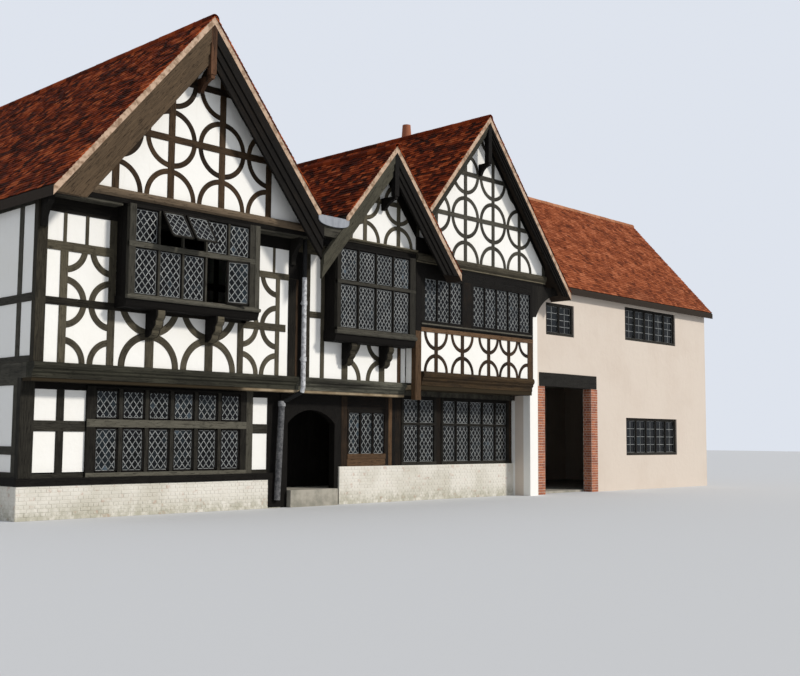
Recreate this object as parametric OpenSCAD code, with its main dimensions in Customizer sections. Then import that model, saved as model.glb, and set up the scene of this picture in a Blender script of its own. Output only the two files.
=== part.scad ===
/* [Plan] */
// Width of the left range, outside its corner posts
left_w = 6480; // [5600:10:7400]
// Width of the middle range
middle_w = 3625; // [3300:5:4000]
// Width of the right range
right_w = 4905; // [4500:5:5400]
// Depth of the three ranges, from the ground wall to the rear wall
depth = 8600; // [7600:50:9600]
// How far the first floor of the left and middle ranges stands out over the ground wall
jetty = 430; // [300:10:600]
// How far the gables stand out over that first floor
gable_jetty = 350; // [250:10:450]
// Thickness of the framed walls
wall_t = 150; // [120:5:200]
// How far the plaster panels lie behind the face of the timbers
panel_recess = 18; // [10:1:30]

/* [Heights] */
// Top of the brick plinth under the left range
plinth_h = 790; // [600:10:900]
// Top of the dwarf wall under the middle and right ranges
dwarf_h = 905; // [780:5:1000]
// Level of the ground floor above the ground
floor_z = 390; // [250:10:500]
// How far the plinth stands out in front of the ground wall
plinth_out = 60; // [30:5:90]
// Thickness of the plinth behind the front of the ground wall
plinth_t = 240; // [200:10:300]
// Crown of the doorway's arch
door_head_z = 2250; // [2100:10:2400]
// Width of the doorway
door_w = 1480; // [1200:10:1600]
// Underside of the jetty beams
jetty_z = 2690; // [2500:10:2900]
// Height of the jetty beams
jetty_beam_h = 300; // [240:10:340]
// Underside of the left gable's beam, and top of the first-floor frames
upper_top_z = 6200; // [6000:10:6350]
// Height of the left gable's beam
gable_beam_h = 255; // [220:5:300]

/* [Roofs] */
// Pitch of the three front roofs
pitch = 50.2; // [48:0.1:52]
// Thickness of the tiled slopes with their battens and rafters, square to the slope
roof_t = 115; // [90:5:150]
// How far the front verges stand out over the gable walls
verge_out = 500; // [350:10:600]
// How far the rear verges stand out over the rear wall
rear_out = 300; // [200:10:400]
// Depth of the bargeboards, square to the slope
barge_d = 500; // [350:10:560]
// Thickness of a bargeboard's back layer
barge_t = 70; // [50:5:90]
// Width of the lead gutter between the left and middle roofs
gutter_w = 780; // [600:10:850]

/* [Timbers] */
// Width of the corner posts
post_w = 280; // [220:10:320]
// Width of the studs
stud_w = 150; // [110:5:190]
// Width of the curved braces
brace_w = 105; // [80:5:130]
// Thickness of window mullions and transoms
mullion_w = 70; // [50:5:90]
// Depth of the hanging bay windows in front of the gable walls
oriel_out = 100; // [60:5:150]

/* [Wing] */
// Length of the plastered wing
wing_w = 10690; // [9500:10:12000]
// Depth of the wing, from its front wall to its rear wall
wing_depth = 6150; // [5500:50:6800]
// Pitch of the wing's roof
wing_pitch = 48; // [46:0.5:50]
// Thickness of the wing's walls
wing_t = 300; // [220:10:400]

/* [Hidden] */
$fn = 96;

oak = [0.30, 0.25, 0.20];
oak_red = [0.36, 0.20, 0.14];
plaster = [0.94, 0.92, 0.86];
render = [0.86, 0.80, 0.74];
tile = [0.44, 0.19, 0.13];
tile_bright = [0.66, 0.28, 0.18];
lead = [0.60, 0.64, 0.68];
brick = [0.60, 0.30, 0.20];
stone = [0.78, 0.75, 0.68];
glass = [0.22, 0.27, 0.30];

// Fronts of the storeys, and the ranges from left to right
upper_y = -jetty;
gable_y = upper_y - gable_jetty;
verge_y = gable_y - verge_out;
right_verge_y = verge_y + 130;
rear_y = depth + rear_out;
middle_x = left_w;
right_x = left_w + middle_w;
end_x = right_x + right_w;

// Heights that follow the jetties and the beams
jetty_top = jetty_z + jetty_beam_h;
beam_top = upper_top_z + gable_beam_h;
middle_beam_z = upper_top_z - 90;
middle_beam_top = middle_beam_z + 240;
right_jetty_z = jetty_z + 246;
right_jetty_top = jetty_top + 305;
right_beam_z = upper_top_z - 210;
right_beam_top = right_beam_z + 310;

// Roofs: each pair of slopes rises from an eave or the gutter to its ridge
rise = tan(pitch);
slope_v = roof_t / cos(pitch);
barge_v = barge_d / cos(pitch);
gutter_x = left_w - 80;
gutter_z = upper_top_z + 500;
gutter_end_x = gutter_x + gutter_w;
left_eave_x = -170;
left_cx = left_w / 2 + 100;
left_ridge_z = gutter_z + rise * (gutter_x - left_cx);
middle_cx = (gutter_end_x + right_x + 465) / 2;
middle_ridge_z = gutter_z + rise * (middle_cx - gutter_end_x);
middle_eave_x = right_x + 1195;
right_cx = right_x + right_w / 2 + 82;
right_eave_x = end_x + 1380;
right_ridge_z = upper_top_z - 371 + rise * (right_eave_x - right_cx);
valley_x = (middle_ridge_z - right_ridge_z + rise * (middle_cx + right_cx)) / (2 * rise);
rear_end_x = right_eave_x - 240;

// Heights of the roofs' upper and under faces at a place along the front
function top_z(cx, ridge, x) = ridge - rise * abs(x - cx);
function under_z(cx, ridge, x) = top_z(cx, ridge, x) - slope_v;
// Half width of a gable at a height under the slopes
function half_at(ridge, z) = (ridge - slope_v - z) / rise;

// Upright slab from a drawing of X and Z, standing between y and y + t
module upright(y, t) {
    translate([0, y + t, 0]) rotate([90, 0, 0]) linear_extrude(t) children();
}
// Slab from a drawing of Y and Z, standing between x and x + t
module crosswise(x, t) {
    translate([x, 0, 0]) rotate([90, 0, 90]) linear_extrude(t) children();
}
module block(x0, x1, y0, y1, z0, z1) {
    translate([x0, y0, z0]) cube([x1 - x0, y1 - y0, z1 - z0]);
}
module bar(x0, x1, z0, z1) { translate([x0, z0]) square([x1 - x0, z1 - z0]); }
module pane(w) { bar(w[0], w[1], w[2], w[3]); }
module stud(x, z0, z1, w = stud_w) { bar(x - w / 2, x + w / 2, z0, z1); }
module rail(z, x0, x1, w = stud_w) { bar(x0, x1, z - w / 2, z + w / 2); }
// Four curved braces round a crossing make one ring
module ring(x, z, r, w = brace_w) {
    translate([x, z]) difference() { circle(r); circle(r - w); }
}
// Rings at the corners of one bay, seen only inside it
module corner_rings(x0, x1, z0, z1, r, w = brace_w) {
    intersection() {
        bar(x0, x1, z0, z1);
        for (x = [x0, x1], z = [z0, z1]) ring(x, z, r, w);
    }
}
// Everything under a pair of slopes, down to the foot of a wall
module under_slopes(cx, ridge, x0, x1, foot = 0) {
    polygon([[x0, foot], [x1, foot], [x1, under_z(cx, ridge, x1)],
        [cx, ridge - slope_v], [x0, under_z(cx, ridge, x0)]]);
}

// Lights of a window: bars between cols x rows openings inside an outer frame
function light_pitch(x0, x1, cols, edge) = (x1 - x0 - 2 * edge + mullion_w) / cols;
function light(x0, x1, cols, edge, i) = x0 + edge + i * light_pitch(x0, x1, cols, edge);
module light_grid(x0, x1, z0, z1, cols, rows_z, edge = 90) {
    zs = concat([z0 + edge - mullion_w / 2], rows_z, [z1 - edge + mullion_w / 2]);
    difference() {
        bar(x0, x1, z0, z1);
        for (i = [0 : cols - 1], j = [0 : len(zs) - 2])
            bar(light(x0, x1, cols, edge, i), light(x0, x1, cols, edge, i + 1) - mullion_w,
                zs[j] + mullion_w / 2, zs[j + 1] - mullion_w / 2);
    }
}

// Ground storey
sill_h = 110;
head_h = 130;
glass_t = 8;
gl_win = [1380, left_w - 840, plinth_h, jetty_z - head_h];
gl_rail_z = plinth_h + 1000;
gl_post = [left_w - 400, left_w - 120];
door_x0 = middle_x + 100;
door_x1 = door_x0 + door_w;
door_post_x = door_x1 + 130;
door_proud = 20;
arch_r = 1020;
mid_win = [middle_x + 2010, right_x - 285, dwarf_h + 175, jetty_z - 390];
right_post_from = 1645;
right_post_w = 200;
right_post = [right_x + right_post_from, right_x + right_post_from + right_post_w];
right_win = [right_x + 295, end_x - 140, dwarf_h, jetty_z];
right_transom_z = dwarf_h + 1065;

module plinth_front() {
    color(plaster) {
        block(-plinth_out, gl_post[1], -plinth_out, plinth_t, 0, plinth_h);
        block(door_post_x, end_x, -plinth_out, plinth_t, 0, dwarf_h);
    }
}
module plinth_sides() {
    color(plaster) {
        block(-plinth_out, plinth_t, plinth_t, depth - wall_t, 0, plinth_h);
        block(-plinth_out, rear_end_x, depth - plinth_t, depth, 0, floor_z);
        block(rear_end_x - plinth_t, rear_end_x, wing_rear_y, depth, 0, floor_z);
    }
}
module door_step() {
    color(stone) block(door_x0, door_x1, -160, plinth_t, 0, floor_z);
}
module ground_floor() {
    slab_t = 120;
    wing_slab_t = 60;
    color(stone) {
        block(plinth_t, end_x - wall_t, plinth_t, depth - plinth_t, floor_z - slab_t, floor_z);
        block(end_x - wall_t, rear_end_x - plinth_t, wing_rear_y, depth - plinth_t,
            floor_z - slab_t, floor_z);
        block(end_x + wall_t, wing_end_x - wing_t, wing_front_y + wing_t, wing_rear_y - wing_t,
            0, wing_slab_t);
    }
}
module ground_left_frame_2d() {
    bar(0, post_w, plinth_h, jetty_z);
    bar(gl_post[0], gl_post[1], plinth_h, jetty_z);
    bar(0, gl_post[1], jetty_z - head_h, jetty_z);
    for (x = [[0, gl_win[0]], [gl_win[1], gl_post[0]]]) {
        rail(gl_rail_z, x[0], x[1], 160);
        bar(x[0], x[1], plinth_h, plinth_h + sill_h);
    }
    stud((post_w + gl_win[0]) / 2, plinth_h, jetty_z);
}
module ground_frame_left() {
    color(oak) upright(0, wall_t) ground_left_frame_2d();
}
module ground_panels_left() {
    color(plaster) upright(panel_recess, wall_t - 2 * panel_recess) difference() {
        bar(0, gl_post[1], plinth_h, jetty_z);
        ground_left_frame_2d();
        pane(gl_win);
    }
}
module ground_window_left() {
    proud = 40;
    color(oak) upright(-proud, wall_t)
        light_grid(gl_win[0], gl_win[1], gl_win[2], gl_win[3], 6, [gl_win[2] + 1035]);
}

// Doorway with a four-centred head under the middle range
module doorway_frame() {
    color(oak) upright(-door_proud, wall_t + 2 * door_proud) difference() {
        bar(gl_post[1], door_post_x, 0, jetty_z);
        intersection() {
            bar(door_x0, door_x1, 0, jetty_z);
            union() {
                bar(door_x0, door_x1, 0, door_head_z - arch_r + 690);
                translate([(door_x0 + door_x1) / 2, door_head_z - arch_r]) circle(arch_r);
            }
        }
    }
}
module ground_frame_middle() {
    color(oak_red) upright(0, wall_t) {
        bar(door_post_x, mid_win[0], dwarf_h, jetty_z);
        bar(mid_win[1], right_x + 75, dwarf_h, jetty_z);
        bar(mid_win[0], mid_win[1], mid_win[3], jetty_z);
    }
}
module ground_window_middle() {
    color(oak_red) {
        upright(-door_proud, wall_t)
            light_grid(mid_win[0], mid_win[1], mid_win[2], mid_win[3], 3, []);
        upright(-door_proud, wall_t + door_proud)
            bar(mid_win[0], mid_win[1], dwarf_h, mid_win[2]);
    }
}
module ground_frame_right() {
    color(oak_red) upright(0, wall_t) {
        bar(right_x + 75, right_win[0], dwarf_h, jetty_z);
        bar(right_win[1], end_x, dwarf_h, jetty_z);
        bar(right_post[0], right_post[1], dwarf_h, jetty_z);
    }
}
module ground_window_right() {
    color(oak) upright(-door_proud, wall_t) {
        light_grid(right_win[0], right_post[0], dwarf_h, jetty_z, 2, [right_transom_z]);
        light_grid(right_post[1], right_win[1], dwarf_h, jetty_z, 5, [right_transom_z]);
    }
}
module ground_glass() {
    color(glass) {
        upright(wall_t - 36, glass_t) pane(gl_win);
        upright(wall_t - 16, glass_t) {
            pane(mid_win);
            bar(right_win[0], right_post[0], dwarf_h, jetty_z);
            bar(right_post[1], right_win[1], dwarf_h, jetty_z);
        }
        upright(wing_glass_y, glass_t) pane(wing_win_low);
        crosswise(wall_t, glass_t) for (i = side_window_bays) pane(side_window(i, side_low_z));
        upright(depth - wall_t - glass_t, glass_t)
            for (i = rear_window_bays) pane(rear_window(i, rear_low_z));
    }
}

// Moulded beams that carry the jettied storeys: a bull nose over a hollow and a fillet
beam_d = 260;
module beam_profile(y, z, h) {
    polygon([[y + beam_d, z], [y + 30, z], [y + 30, z + 0.28 * h], [y - 10, z + 0.40 * h],
        [y - 10, z + 0.52 * h], [y - 45, z + 0.62 * h], [y - 60, z + 0.78 * h],
        [y - 45, z + 0.93 * h], [y - 20, z + h], [y + beam_d, z + h]]);
}
module jetty_beam_left() {
    color(oak) crosswise(0, middle_x) beam_profile(upper_y, jetty_z, jetty_beam_h);
}
module jetty_beam_middle() {
    color(oak) crosswise(middle_x, middle_w) beam_profile(upper_y, jetty_z, jetty_beam_h);
}
corner_w = post_w - 20;
module jetty_beam_right() {
    color(oak_red) crosswise(right_x + corner_w, right_w - corner_w)
        beam_profile(gable_y, right_jetty_z, right_jetty_top - right_jetty_z);
}
// Plastered undersides of the jetties, whose edges show below the beams
module jetty_soffits() {
    edge = 45;
    soffit_h = 60;
    right_soffit_h = 106;
    color(plaster) {
        block(0, right_x, upper_y + edge, -edge, jetty_z - soffit_h, jetty_z);
        block(right_x, end_x, gable_y + wall_t, 0, right_jetty_z - right_soffit_h, right_jetty_z);
        block(right_x + corner_w, end_x, gable_y + edge, gable_y + wall_t,
            right_jetty_z - right_soffit_h, right_jetty_z);
    }
}
module first_floor() {
    wing_floor_z = right_jetty_top + 355;
    color(oak) {
        block(0, right_x, upper_y + beam_d, depth - wall_t, jetty_z, jetty_top);
        crosswise(right_x, right_w) polygon([[gable_y + beam_d, right_jetty_z],
            [0, right_jetty_z], [0, jetty_z], [depth - wall_t, jetty_z],
            [depth - wall_t, jetty_top], [gable_y + beam_d, jetty_top]]);
        block(end_x, rear_end_x - wall_t, wing_rear_y, depth - wall_t, jetty_z, jetty_top);
        block(end_x, wing_end_x - wing_t, wing_front_y + wing_t, wing_rear_y - wing_t,
            wing_floor_z, wing_floor_z + 200);
    }
}

// First floor, left range
left_sill_z = jetty_top + 1170;
top_rail_z = upper_top_z - 316;
left_rail_z = upper_top_z - 970;
oriel_l = [1620, left_w - 1505];
ring_l = [oriel_l[0] + 900, oriel_l[1] - 975];
bay_stud_x = 570;
right_bay = [oriel_l[1] - 135, left_w - 600];
right_bay_z = jetty_top + 1080;
ring_r = 500;
module upper_left_2d() {
    z0 = jetty_top;
    bar(0, post_w - 80, z0, upper_top_z);
    bar(left_w - post_w, left_w, z0, upper_top_z);
    bar(0, left_w, top_rail_z, upper_top_z);
    rail(left_rail_z, 0, oriel_l[0], 170);
    rail(left_sill_z, 0, oriel_l[1], 140);
    rail(left_rail_z + 20, oriel_l[1], left_w, 135);
    rail(right_bay_z, right_bay[0], left_w, 155);
    for (x = [bay_stud_x, bay_stud_x + 470, left_w - 920]) stud(x, left_rail_z, top_rail_z, 60);
    stud(bay_stud_x, z0, left_rail_z);
    for (x = oriel_l) stud(x, z0, upper_top_z);
    for (x = ring_l) stud(x, z0, left_sill_z, 190);
    stud(right_bay[0], z0, left_sill_z);
    stud(right_bay[1], z0, left_rail_z, 110);
    corner_rings(bay_stud_x, oriel_l[0], left_sill_z, left_rail_z, ring_r);
    corner_rings(bay_stud_x, oriel_l[0], z0, left_sill_z, ring_r);
    corner_rings(right_bay[0], right_bay[1], z0, right_bay_z, ring_r);
    corner_rings(right_bay[0], right_bay[1], right_bay_z, left_rail_z + 20, ring_r);
    intersection() {
        bar(oriel_l[0] + 180, right_bay[0] - 100, z0, left_sill_z);
        for (x = ring_l) { ring(x, z0, 710, 120); ring(x, left_sill_z + 195, 735, 120); }
    }
}
module upper_frame_left() {
    color(oak) upright(upper_y, wall_t) difference() {
        intersection() {
            upper_left_2d();
            under_slopes(left_cx, left_ridge_z, 0, left_w);
        }
        bar(oriel_l[0] + stud_w / 2, oriel_l[1] - stud_w / 2, left_sill_z + 70, top_rail_z);
    }
}

// First floor, middle range
oriel_m = [middle_x + 820, right_x - 115];
middle_studs = [oriel_m[0] + 690, oriel_m[1] - 735];
middle_post = [middle_x + 160, middle_x + 370];
middle_sill_z = jetty_top + 1010;
module upper_middle_2d() {
    z0 = jetty_top;
    bar(middle_post[0], middle_post[1], z0, upper_top_z);
    bar(middle_x, right_x, top_rail_z, upper_top_z);
    rail(middle_sill_z + 460, middle_post[1], oriel_m[0], 140);
    stud(oriel_m[0] - 40, z0, upper_top_z, 110);
    for (x = middle_studs) stud(x, z0, middle_sill_z, 180);
    stud(right_x - 245, z0, middle_sill_z, 90);
    rail(middle_sill_z, oriel_m[0] - 40, right_x, 140);
    corner_rings(middle_studs[0], middle_studs[1], z0, middle_sill_z, 540);
}
module upper_frame_middle() {
    color(oak) upright(upper_y, wall_t) upper_middle_2d();
}

// First floor, right range, in line with its gable
win3 = [right_x + 280, right_x + 1790];
win5 = [right_x + 2120, end_x - 235];
win_z = [right_jetty_top + 1155, right_beam_z - 350];
band_top_z = win_z[0] - 285;
band_pitch = (right_w - 853) / 4;
function band_x(i) = right_x + 803 + band_pitch * i;
module upper_right_2d() {
    band_z = [right_jetty_top, band_top_z];
    bar(right_x, right_x + corner_w, jetty_z - head_h, right_beam_z);
    bar(win5[1], end_x, right_jetty_top, right_beam_z);
    bar(right_x, end_x, band_top_z, win_z[0]);
    bar(right_x, end_x, win_z[1], right_beam_z);
    bar(win3[1], win5[0], right_jetty_top, win_z[1]);
    bar(right_x, win3[0], band_top_z, right_beam_z);
    for (i = [0 : 3]) stud(band_x(i), band_z[0], band_z[1], 120);
    intersection() {
        bar(right_x + corner_w, end_x, band_z[0], band_z[1]);
        for (i = [0 : 4], z = band_z) ring(band_x(i), z, (band_z[1] - band_z[0]) / 2 + 10, 90);
    }
}
module upper_frame_right() {
    color(oak_red) upright(gable_y, wall_t) upper_right_2d();
}
module upper_window_right() {
    color(oak) upright(gable_y, wall_t) {
        light_grid(win3[0], win3[1], win_z[0], win_z[1], 3, []);
        light_grid(win5[0], win5[1], win_z[0], win_z[1], 5, []);
    }
}
module upper_panels() {
    color(plaster) {
        upright(upper_y + panel_recess, wall_t - 2 * panel_recess) {
            difference() {
                intersection() {
                    bar(0, left_w, jetty_top, upper_top_z);
                    under_slopes(left_cx, left_ridge_z, 0, left_w);
                }
                upper_left_2d();
                bar(oriel_l[0], oriel_l[1], left_sill_z, upper_top_z);
            }
            difference() {
                bar(middle_x, right_x, jetty_top, upper_top_z);
                upper_middle_2d();
                bar(oriel_m[0], oriel_m[1], middle_sill_z, upper_top_z);
            }
        }
        upright(gable_y + panel_recess, wall_t - 2 * panel_recess) difference() {
            bar(right_x, end_x, right_jetty_top, band_top_z);
            upper_right_2d();
        }
        // Returns from the right range's front to the walls behind it
        block(right_x + panel_recess, right_x + wall_t - panel_recess,
            gable_y + wall_t, upper_y, jetty_top, right_beam_z);
        crosswise(end_x - wall_t, wall_t - panel_recess) polygon([
            [gable_y + wall_t, right_jetty_top], [gable_y + beam_d, right_jetty_top],
            [gable_y + beam_d, jetty_top], [wing_front_y, jetty_top],
            [wing_front_y, right_beam_z], [gable_y + wall_t, right_beam_z]]);
    }
}

// Hanging bay windows: a head, posts, mullions, a transom, boarded ends and a moulded sill
oriel_y = gable_y - oriel_out;
oriel_edge = 110;
oriel_sill_h = 260;
oriel_l_z = [jetty_top + 1410, upper_top_z - 610, upper_top_z];
oriel_m_z = [jetty_top + 1125, middle_beam_z - 800, middle_beam_z];
module oriel(x, z, cols) {
    front = oriel_y;
    end_t = oriel_edge - 20;
    upright(front, oriel_edge) light_grid(x[0], x[1], z[0], z[2], cols, [z[1]], oriel_edge);
    for (e = [x[0], x[1] - end_t])
        block(e, e + end_t, front + oriel_edge, upper_y, z[0], z[2]);
    crosswise(x[0] - 60, x[1] - x[0] + 120) translate([0, z[0]]) polygon([[upper_y, 0],
        [upper_y, -oriel_sill_h], [front + 80, -oriel_sill_h], [front + 40, -170],
        [front + 20, -150], [front - 20, -80], [front - 60, -60], [front - 60, 0]]);
}
module oriel_left() { color(oak) oriel(oriel_l, oriel_l_z, 5); }
module oriel_middle() { color(oak) oriel(oriel_m, oriel_m_z, 4); }
module bracket(x, z, w, h, out) {
    crosswise(x - w / 2, w) difference() {
        polygon([[upper_y, z], [upper_y, z - h], [upper_y - 60, z - h], [upper_y - out, z - 90],
            [upper_y - out, z]]);
        translate([upper_y - out, z - h]) circle(out * 0.62);
    }
}
module oriel_brackets() {
    left_bracket = [210, 560];
    middle_bracket = [180, 520];
    reach = jetty - 30;
    color(oak) {
        for (x = ring_l)
            bracket(x, oriel_l_z[0] - oriel_sill_h, left_bracket[0], left_bracket[1], reach);
        for (x = middle_studs)
            bracket(x, oriel_m_z[0] - oriel_sill_h, middle_bracket[0], middle_bracket[1], reach);
    }
}

// Three casements of the left bay stand open: two top-hung vents and one at the side
vent_lights = [1, 2];
side_light = 3;
vent_angle = 40;
side_angle = 150;
casement_t = 35;
stile_w = 45;
oriel_l_pitch = light_pitch(oriel_l[0], oriel_l[1], 5, oriel_edge);
casement_w = oriel_l_pitch - mullion_w - 6;
vent_z = [oriel_l_z[1] + mullion_w / 2, oriel_l_z[2] - oriel_edge];
side_z = [oriel_l_z[0] + oriel_edge, oriel_l_z[1] - mullion_w / 2];
function oriel_light(i) = light(oriel_l[0], oriel_l[1], 5, oriel_edge, i);
module place_vent(i) {
    translate([oriel_light(i) + 3, oriel_y, vent_z[1]]) rotate([-vent_angle, 0, 0]) children();
}
module place_side_casement() {
    translate([oriel_light(side_light + 1) - mullion_w / 2, oriel_y, side_z[0]])
        rotate([0, 0, side_angle - 180]) children();
}
// A casement lies between z0 and z1 of its hinge, with its back on the hinge line
module casement(z0, z1) {
    upright(-casement_t, casement_t) difference() {
        bar(0, casement_w, z0, z1);
        bar(stile_w, casement_w - stile_w, z0 + stile_w, z1 - stile_w);
    }
}
module casement_pane(z0, z1) {
    upright(-casement_t / 2, glass_t)
        bar(stile_w, casement_w - stile_w, z0 + stile_w, z1 - stile_w);
}
module open_casements() {
    color(oak) {
        for (i = vent_lights) place_vent(i) casement(vent_z[0] - vent_z[1], 0);
        place_side_casement() casement(0, side_z[1] - side_z[0]);
    }
}
module upper_glass() {
    color(glass) {
        upright(oriel_y + oriel_edge, glass_t) {
            difference() {
                bar(oriel_l[0] + oriel_edge - 20, oriel_l[1] - oriel_edge + 20,
                    oriel_l_z[0], oriel_l_z[2]);
                for (i = vent_lights)
                    bar(oriel_light(i), oriel_light(i + 1) - mullion_w, vent_z[0], vent_z[1]);
                bar(oriel_light(side_light), oriel_light(side_light + 1) - mullion_w,
                    side_z[0], side_z[1]);
            }
            bar(oriel_m[0] + oriel_edge - 20, oriel_m[1] - oriel_edge + 20,
                oriel_m_z[0], oriel_m_z[2]);
        }
        for (i = vent_lights) place_vent(i) casement_pane(vent_z[0] - vent_z[1], 0);
        place_side_casement() casement_pane(0, side_z[1] - side_z[0]);
        upright(wing_glass_y, glass_t) { pane(wing_win2); pane(wing_win5); }
        upright(gable_y + wall_t, glass_t) {
            bar(win3[0], win3[1], win_z[0], win_z[1]);
            bar(win5[0], win5[1], win_z[0], win_z[1]);
        }
        crosswise(wall_t, glass_t) for (i = side_window_bays) pane(side_window(i, side_high_z));
        upright(depth - wall_t - glass_t, glass_t)
            for (i = rear_window_bays) pane(rear_window(i, rear_high_z));
    }
}

// Gables: a moulded beam, studs, rails and rings, with plaster between
beam_y = gable_y - 20;
left_half = half_at(left_ridge_z, beam_top);
middle_half = half_at(middle_ridge_z, middle_beam_top);
right_beam_end = end_x + 590;
module gable_beams() {
    color(oak) {
        crosswise(left_cx - left_half, 2 * left_half)
            beam_profile(beam_y, upper_top_z, gable_beam_h);
        crosswise(middle_cx - middle_half, right_x - middle_cx + middle_half)
            beam_profile(beam_y, middle_beam_z, middle_beam_top - middle_beam_z);
        block(right_x, middle_eave_x, gable_y, beam_y + beam_d, right_beam_z, right_beam_top);
        crosswise(middle_eave_x, right_beam_end - middle_eave_x)
            beam_profile(beam_y, right_beam_z, right_beam_top - right_beam_z);
    }
}
// Boards that close the undersides of the gables, the eaves and the valley between two gables
board_t = 50;
module gable_soffits() {
    back_y = beam_y + beam_d;
    left_end = left_cx + left_half;
    middle_start = middle_cx - middle_half;
    gutter_under = gutter_z - gutter_t - gutter_drop;
    color(oak) {
        block(left_cx - half_at(left_ridge_z, upper_top_z + board_t), left_end, back_y,
            upper_y + wall_t, upper_top_z, upper_top_z + board_t);
        block(left_end, middle_start, gable_y + board_t, upper_y + wall_t,
            upper_top_z, upper_top_z + board_t);
        block(middle_start, right_x, back_y, upper_y, middle_beam_z, middle_beam_z + board_t);
        upright(gable_y, board_t) polygon([[left_end, upper_top_z], [left_end, beam_top],
            [gutter_x, under_z(left_cx, left_ridge_z, gutter_x)], [gutter_x, gutter_under],
            [gutter_end_x, gutter_under],
            [gutter_end_x, under_z(middle_cx, middle_ridge_z, gutter_end_x)],
            [middle_start, middle_beam_top], [middle_start, upper_top_z]]);
        // Strips under the left beam on both sides of the bay window
        for (x = [[20, oriel_l[0]], [oriel_l[1], left_end]])
            block(x[0], x[1], gable_y + 40, upper_y, upper_top_z - board_t, upper_top_z);
        // Board under the front lip of the gutter
        upright(verge_y + 30, 30) polygon([[valley_cut_x, upper_top_z - 30],
            [middle_cx - half_at(middle_ridge_z, upper_top_z - 30), upper_top_z - 30],
            [gutter_end_x, under_z(middle_cx, middle_ridge_z, gutter_end_x)],
            [gutter_end_x, gutter_under], [valley_cut_x, gutter_under]]);
    }
}
// Curved braces under the left gable's corners, and the spandrel under the right gable's eave
module eaves_braces() {
    brace_t = 120;
    brace_h = 600;
    bow = 320;
    span = gable_jetty - 45;
    brace_top_z = upper_top_z - board_t;
    spandrel_r = 1320;
    spandrel_foot_z = right_beam_z - 910;
    color(oak) {
        for (x = [40, left_w - post_w + 20]) crosswise(x, brace_t) difference() {
            bar(upper_y - span, upper_y, brace_top_z - brace_h, brace_top_z);
            translate([upper_y - span - bow, brace_top_z - brace_h]) circle(span + bow - 60);
        }
        upright(gable_y, 100) difference() {
            polygon([[end_x, spandrel_foot_z], [end_x, right_beam_z],
                [right_cx + half_at(right_ridge_z, right_beam_z), right_beam_z],
                [right_eave_x, under_z(right_cx, right_ridge_z, right_eave_x)],
                [right_eave_x, spandrel_foot_z]]);
            translate([right_eave_x - 40, right_beam_z - 1500]) circle(spandrel_r);
            bar(right_eave_x - 40, right_eave_x, 0, right_beam_z);
        }
    }
}

// Each gable is a triangle on its beam, with rafters along its slopes
rafter_v = 150;
left_row = (left_ridge_z - slope_v - beam_top) / 2.96;
middle_row = (middle_ridge_z - slope_v - middle_beam_top) / 2.095;
right_row = (right_ridge_z - slope_v - right_beam_top) / 3.2;
module gable_left_outline() {
    polygon([[left_cx - left_half, beam_top], [left_cx + left_half, beam_top],
        [left_cx, left_ridge_z - slope_v]]);
}
module gable_middle_outline() {
    polygon([[middle_cx - middle_half, middle_beam_top], [right_x, middle_beam_top],
        [right_x, under_z(middle_cx, middle_ridge_z, right_x)],
        [middle_cx, middle_ridge_z - slope_v]]);
}
module gable_right_outline() {
    polygon([[right_x, right_beam_top], [right_beam_end, right_beam_top],
        [right_beam_end, under_z(right_cx, right_ridge_z, right_beam_end)],
        [right_cx, right_ridge_z - slope_v],
        [right_x, under_z(right_cx, right_ridge_z, right_x)]]);
}
module rafters(cx, ridge) {
    for (s = [-1, 1]) translate([cx, ridge - slope_v]) polygon([[0, rafter_v], [0, -rafter_v],
        [s * 6000, -rafter_v - rise * 6000], [s * 6000, rafter_v - rise * 6000]]);
}
// Keeps the grid's timbers to a short tenon in the rafters
module between_rafters(cx, ridge) {
    tenon = 30;
    intersection() {
        polygon([[cx, ridge - slope_v - rafter_v + tenon],
            [cx + 6000, ridge - slope_v - rafter_v + tenon - rise * 6000],
            [cx - 6000, ridge - slope_v - rafter_v + tenon - rise * 6000]]);
        children();
    }
}
// Studs at cx +- half and +- three halves of the spacing, rails and rings at each row
module gable_grid(cx, base, row, rows, spacing, r, stud_width, ring_width, rail_width) {
    xs = [for (k = [-1.5, -0.5, 0.5, 1.5]) cx + k * spacing];
    for (x = xs) stud(x, base, base + (rows + 1) * row, stud_width);
    for (j = [1 : rows]) rail(base + j * row, cx - 4000, cx + 4000, rail_width);
    for (x = xs, j = [0 : rows]) ring(x, base + j * row, r, ring_width);
}
module gable_left_2d() {
    spacing = 1286;
    between_rafters(left_cx, left_ridge_z)
        gable_grid(left_cx, beam_top, left_row, 2, spacing, spacing / 2 - 23, stud_w, brace_w, 135);
    rafters(left_cx, left_ridge_z);
}
module gable_middle_2d() {
    spacing = 1170;
    between_rafters(middle_cx, middle_ridge_z)
        gable_grid(middle_cx, middle_beam_top, middle_row, 1, spacing, spacing / 2 - 70, 110, 95, 110);
    rafters(middle_cx, middle_ridge_z);
}
module gable_right_2d() {
    spacing = 1175;
    between_rafters(right_cx, right_ridge_z) {
        gable_grid(right_cx, right_beam_top, right_row, 3, spacing, spacing / 2 - 20, 110, 95, 110);
        stud(right_x + 60, right_beam_top, right_ridge_z, 120);
        stud(right_beam_end - 60, right_beam_top, right_ridge_z, 120);
    }
    rafters(right_cx, right_ridge_z);
}
module gable_frame_left() {
    color(oak) upright(gable_y, wall_t) intersection() { gable_left_outline(); gable_left_2d(); }
}
module gable_frame_middle() {
    color(oak) upright(gable_y, wall_t) intersection() {
        gable_middle_outline();
        gable_middle_2d();
    }
}
module gable_frame_right() {
    color(oak) upright(gable_y, wall_t) intersection() { gable_right_outline(); gable_right_2d(); }
}
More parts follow.
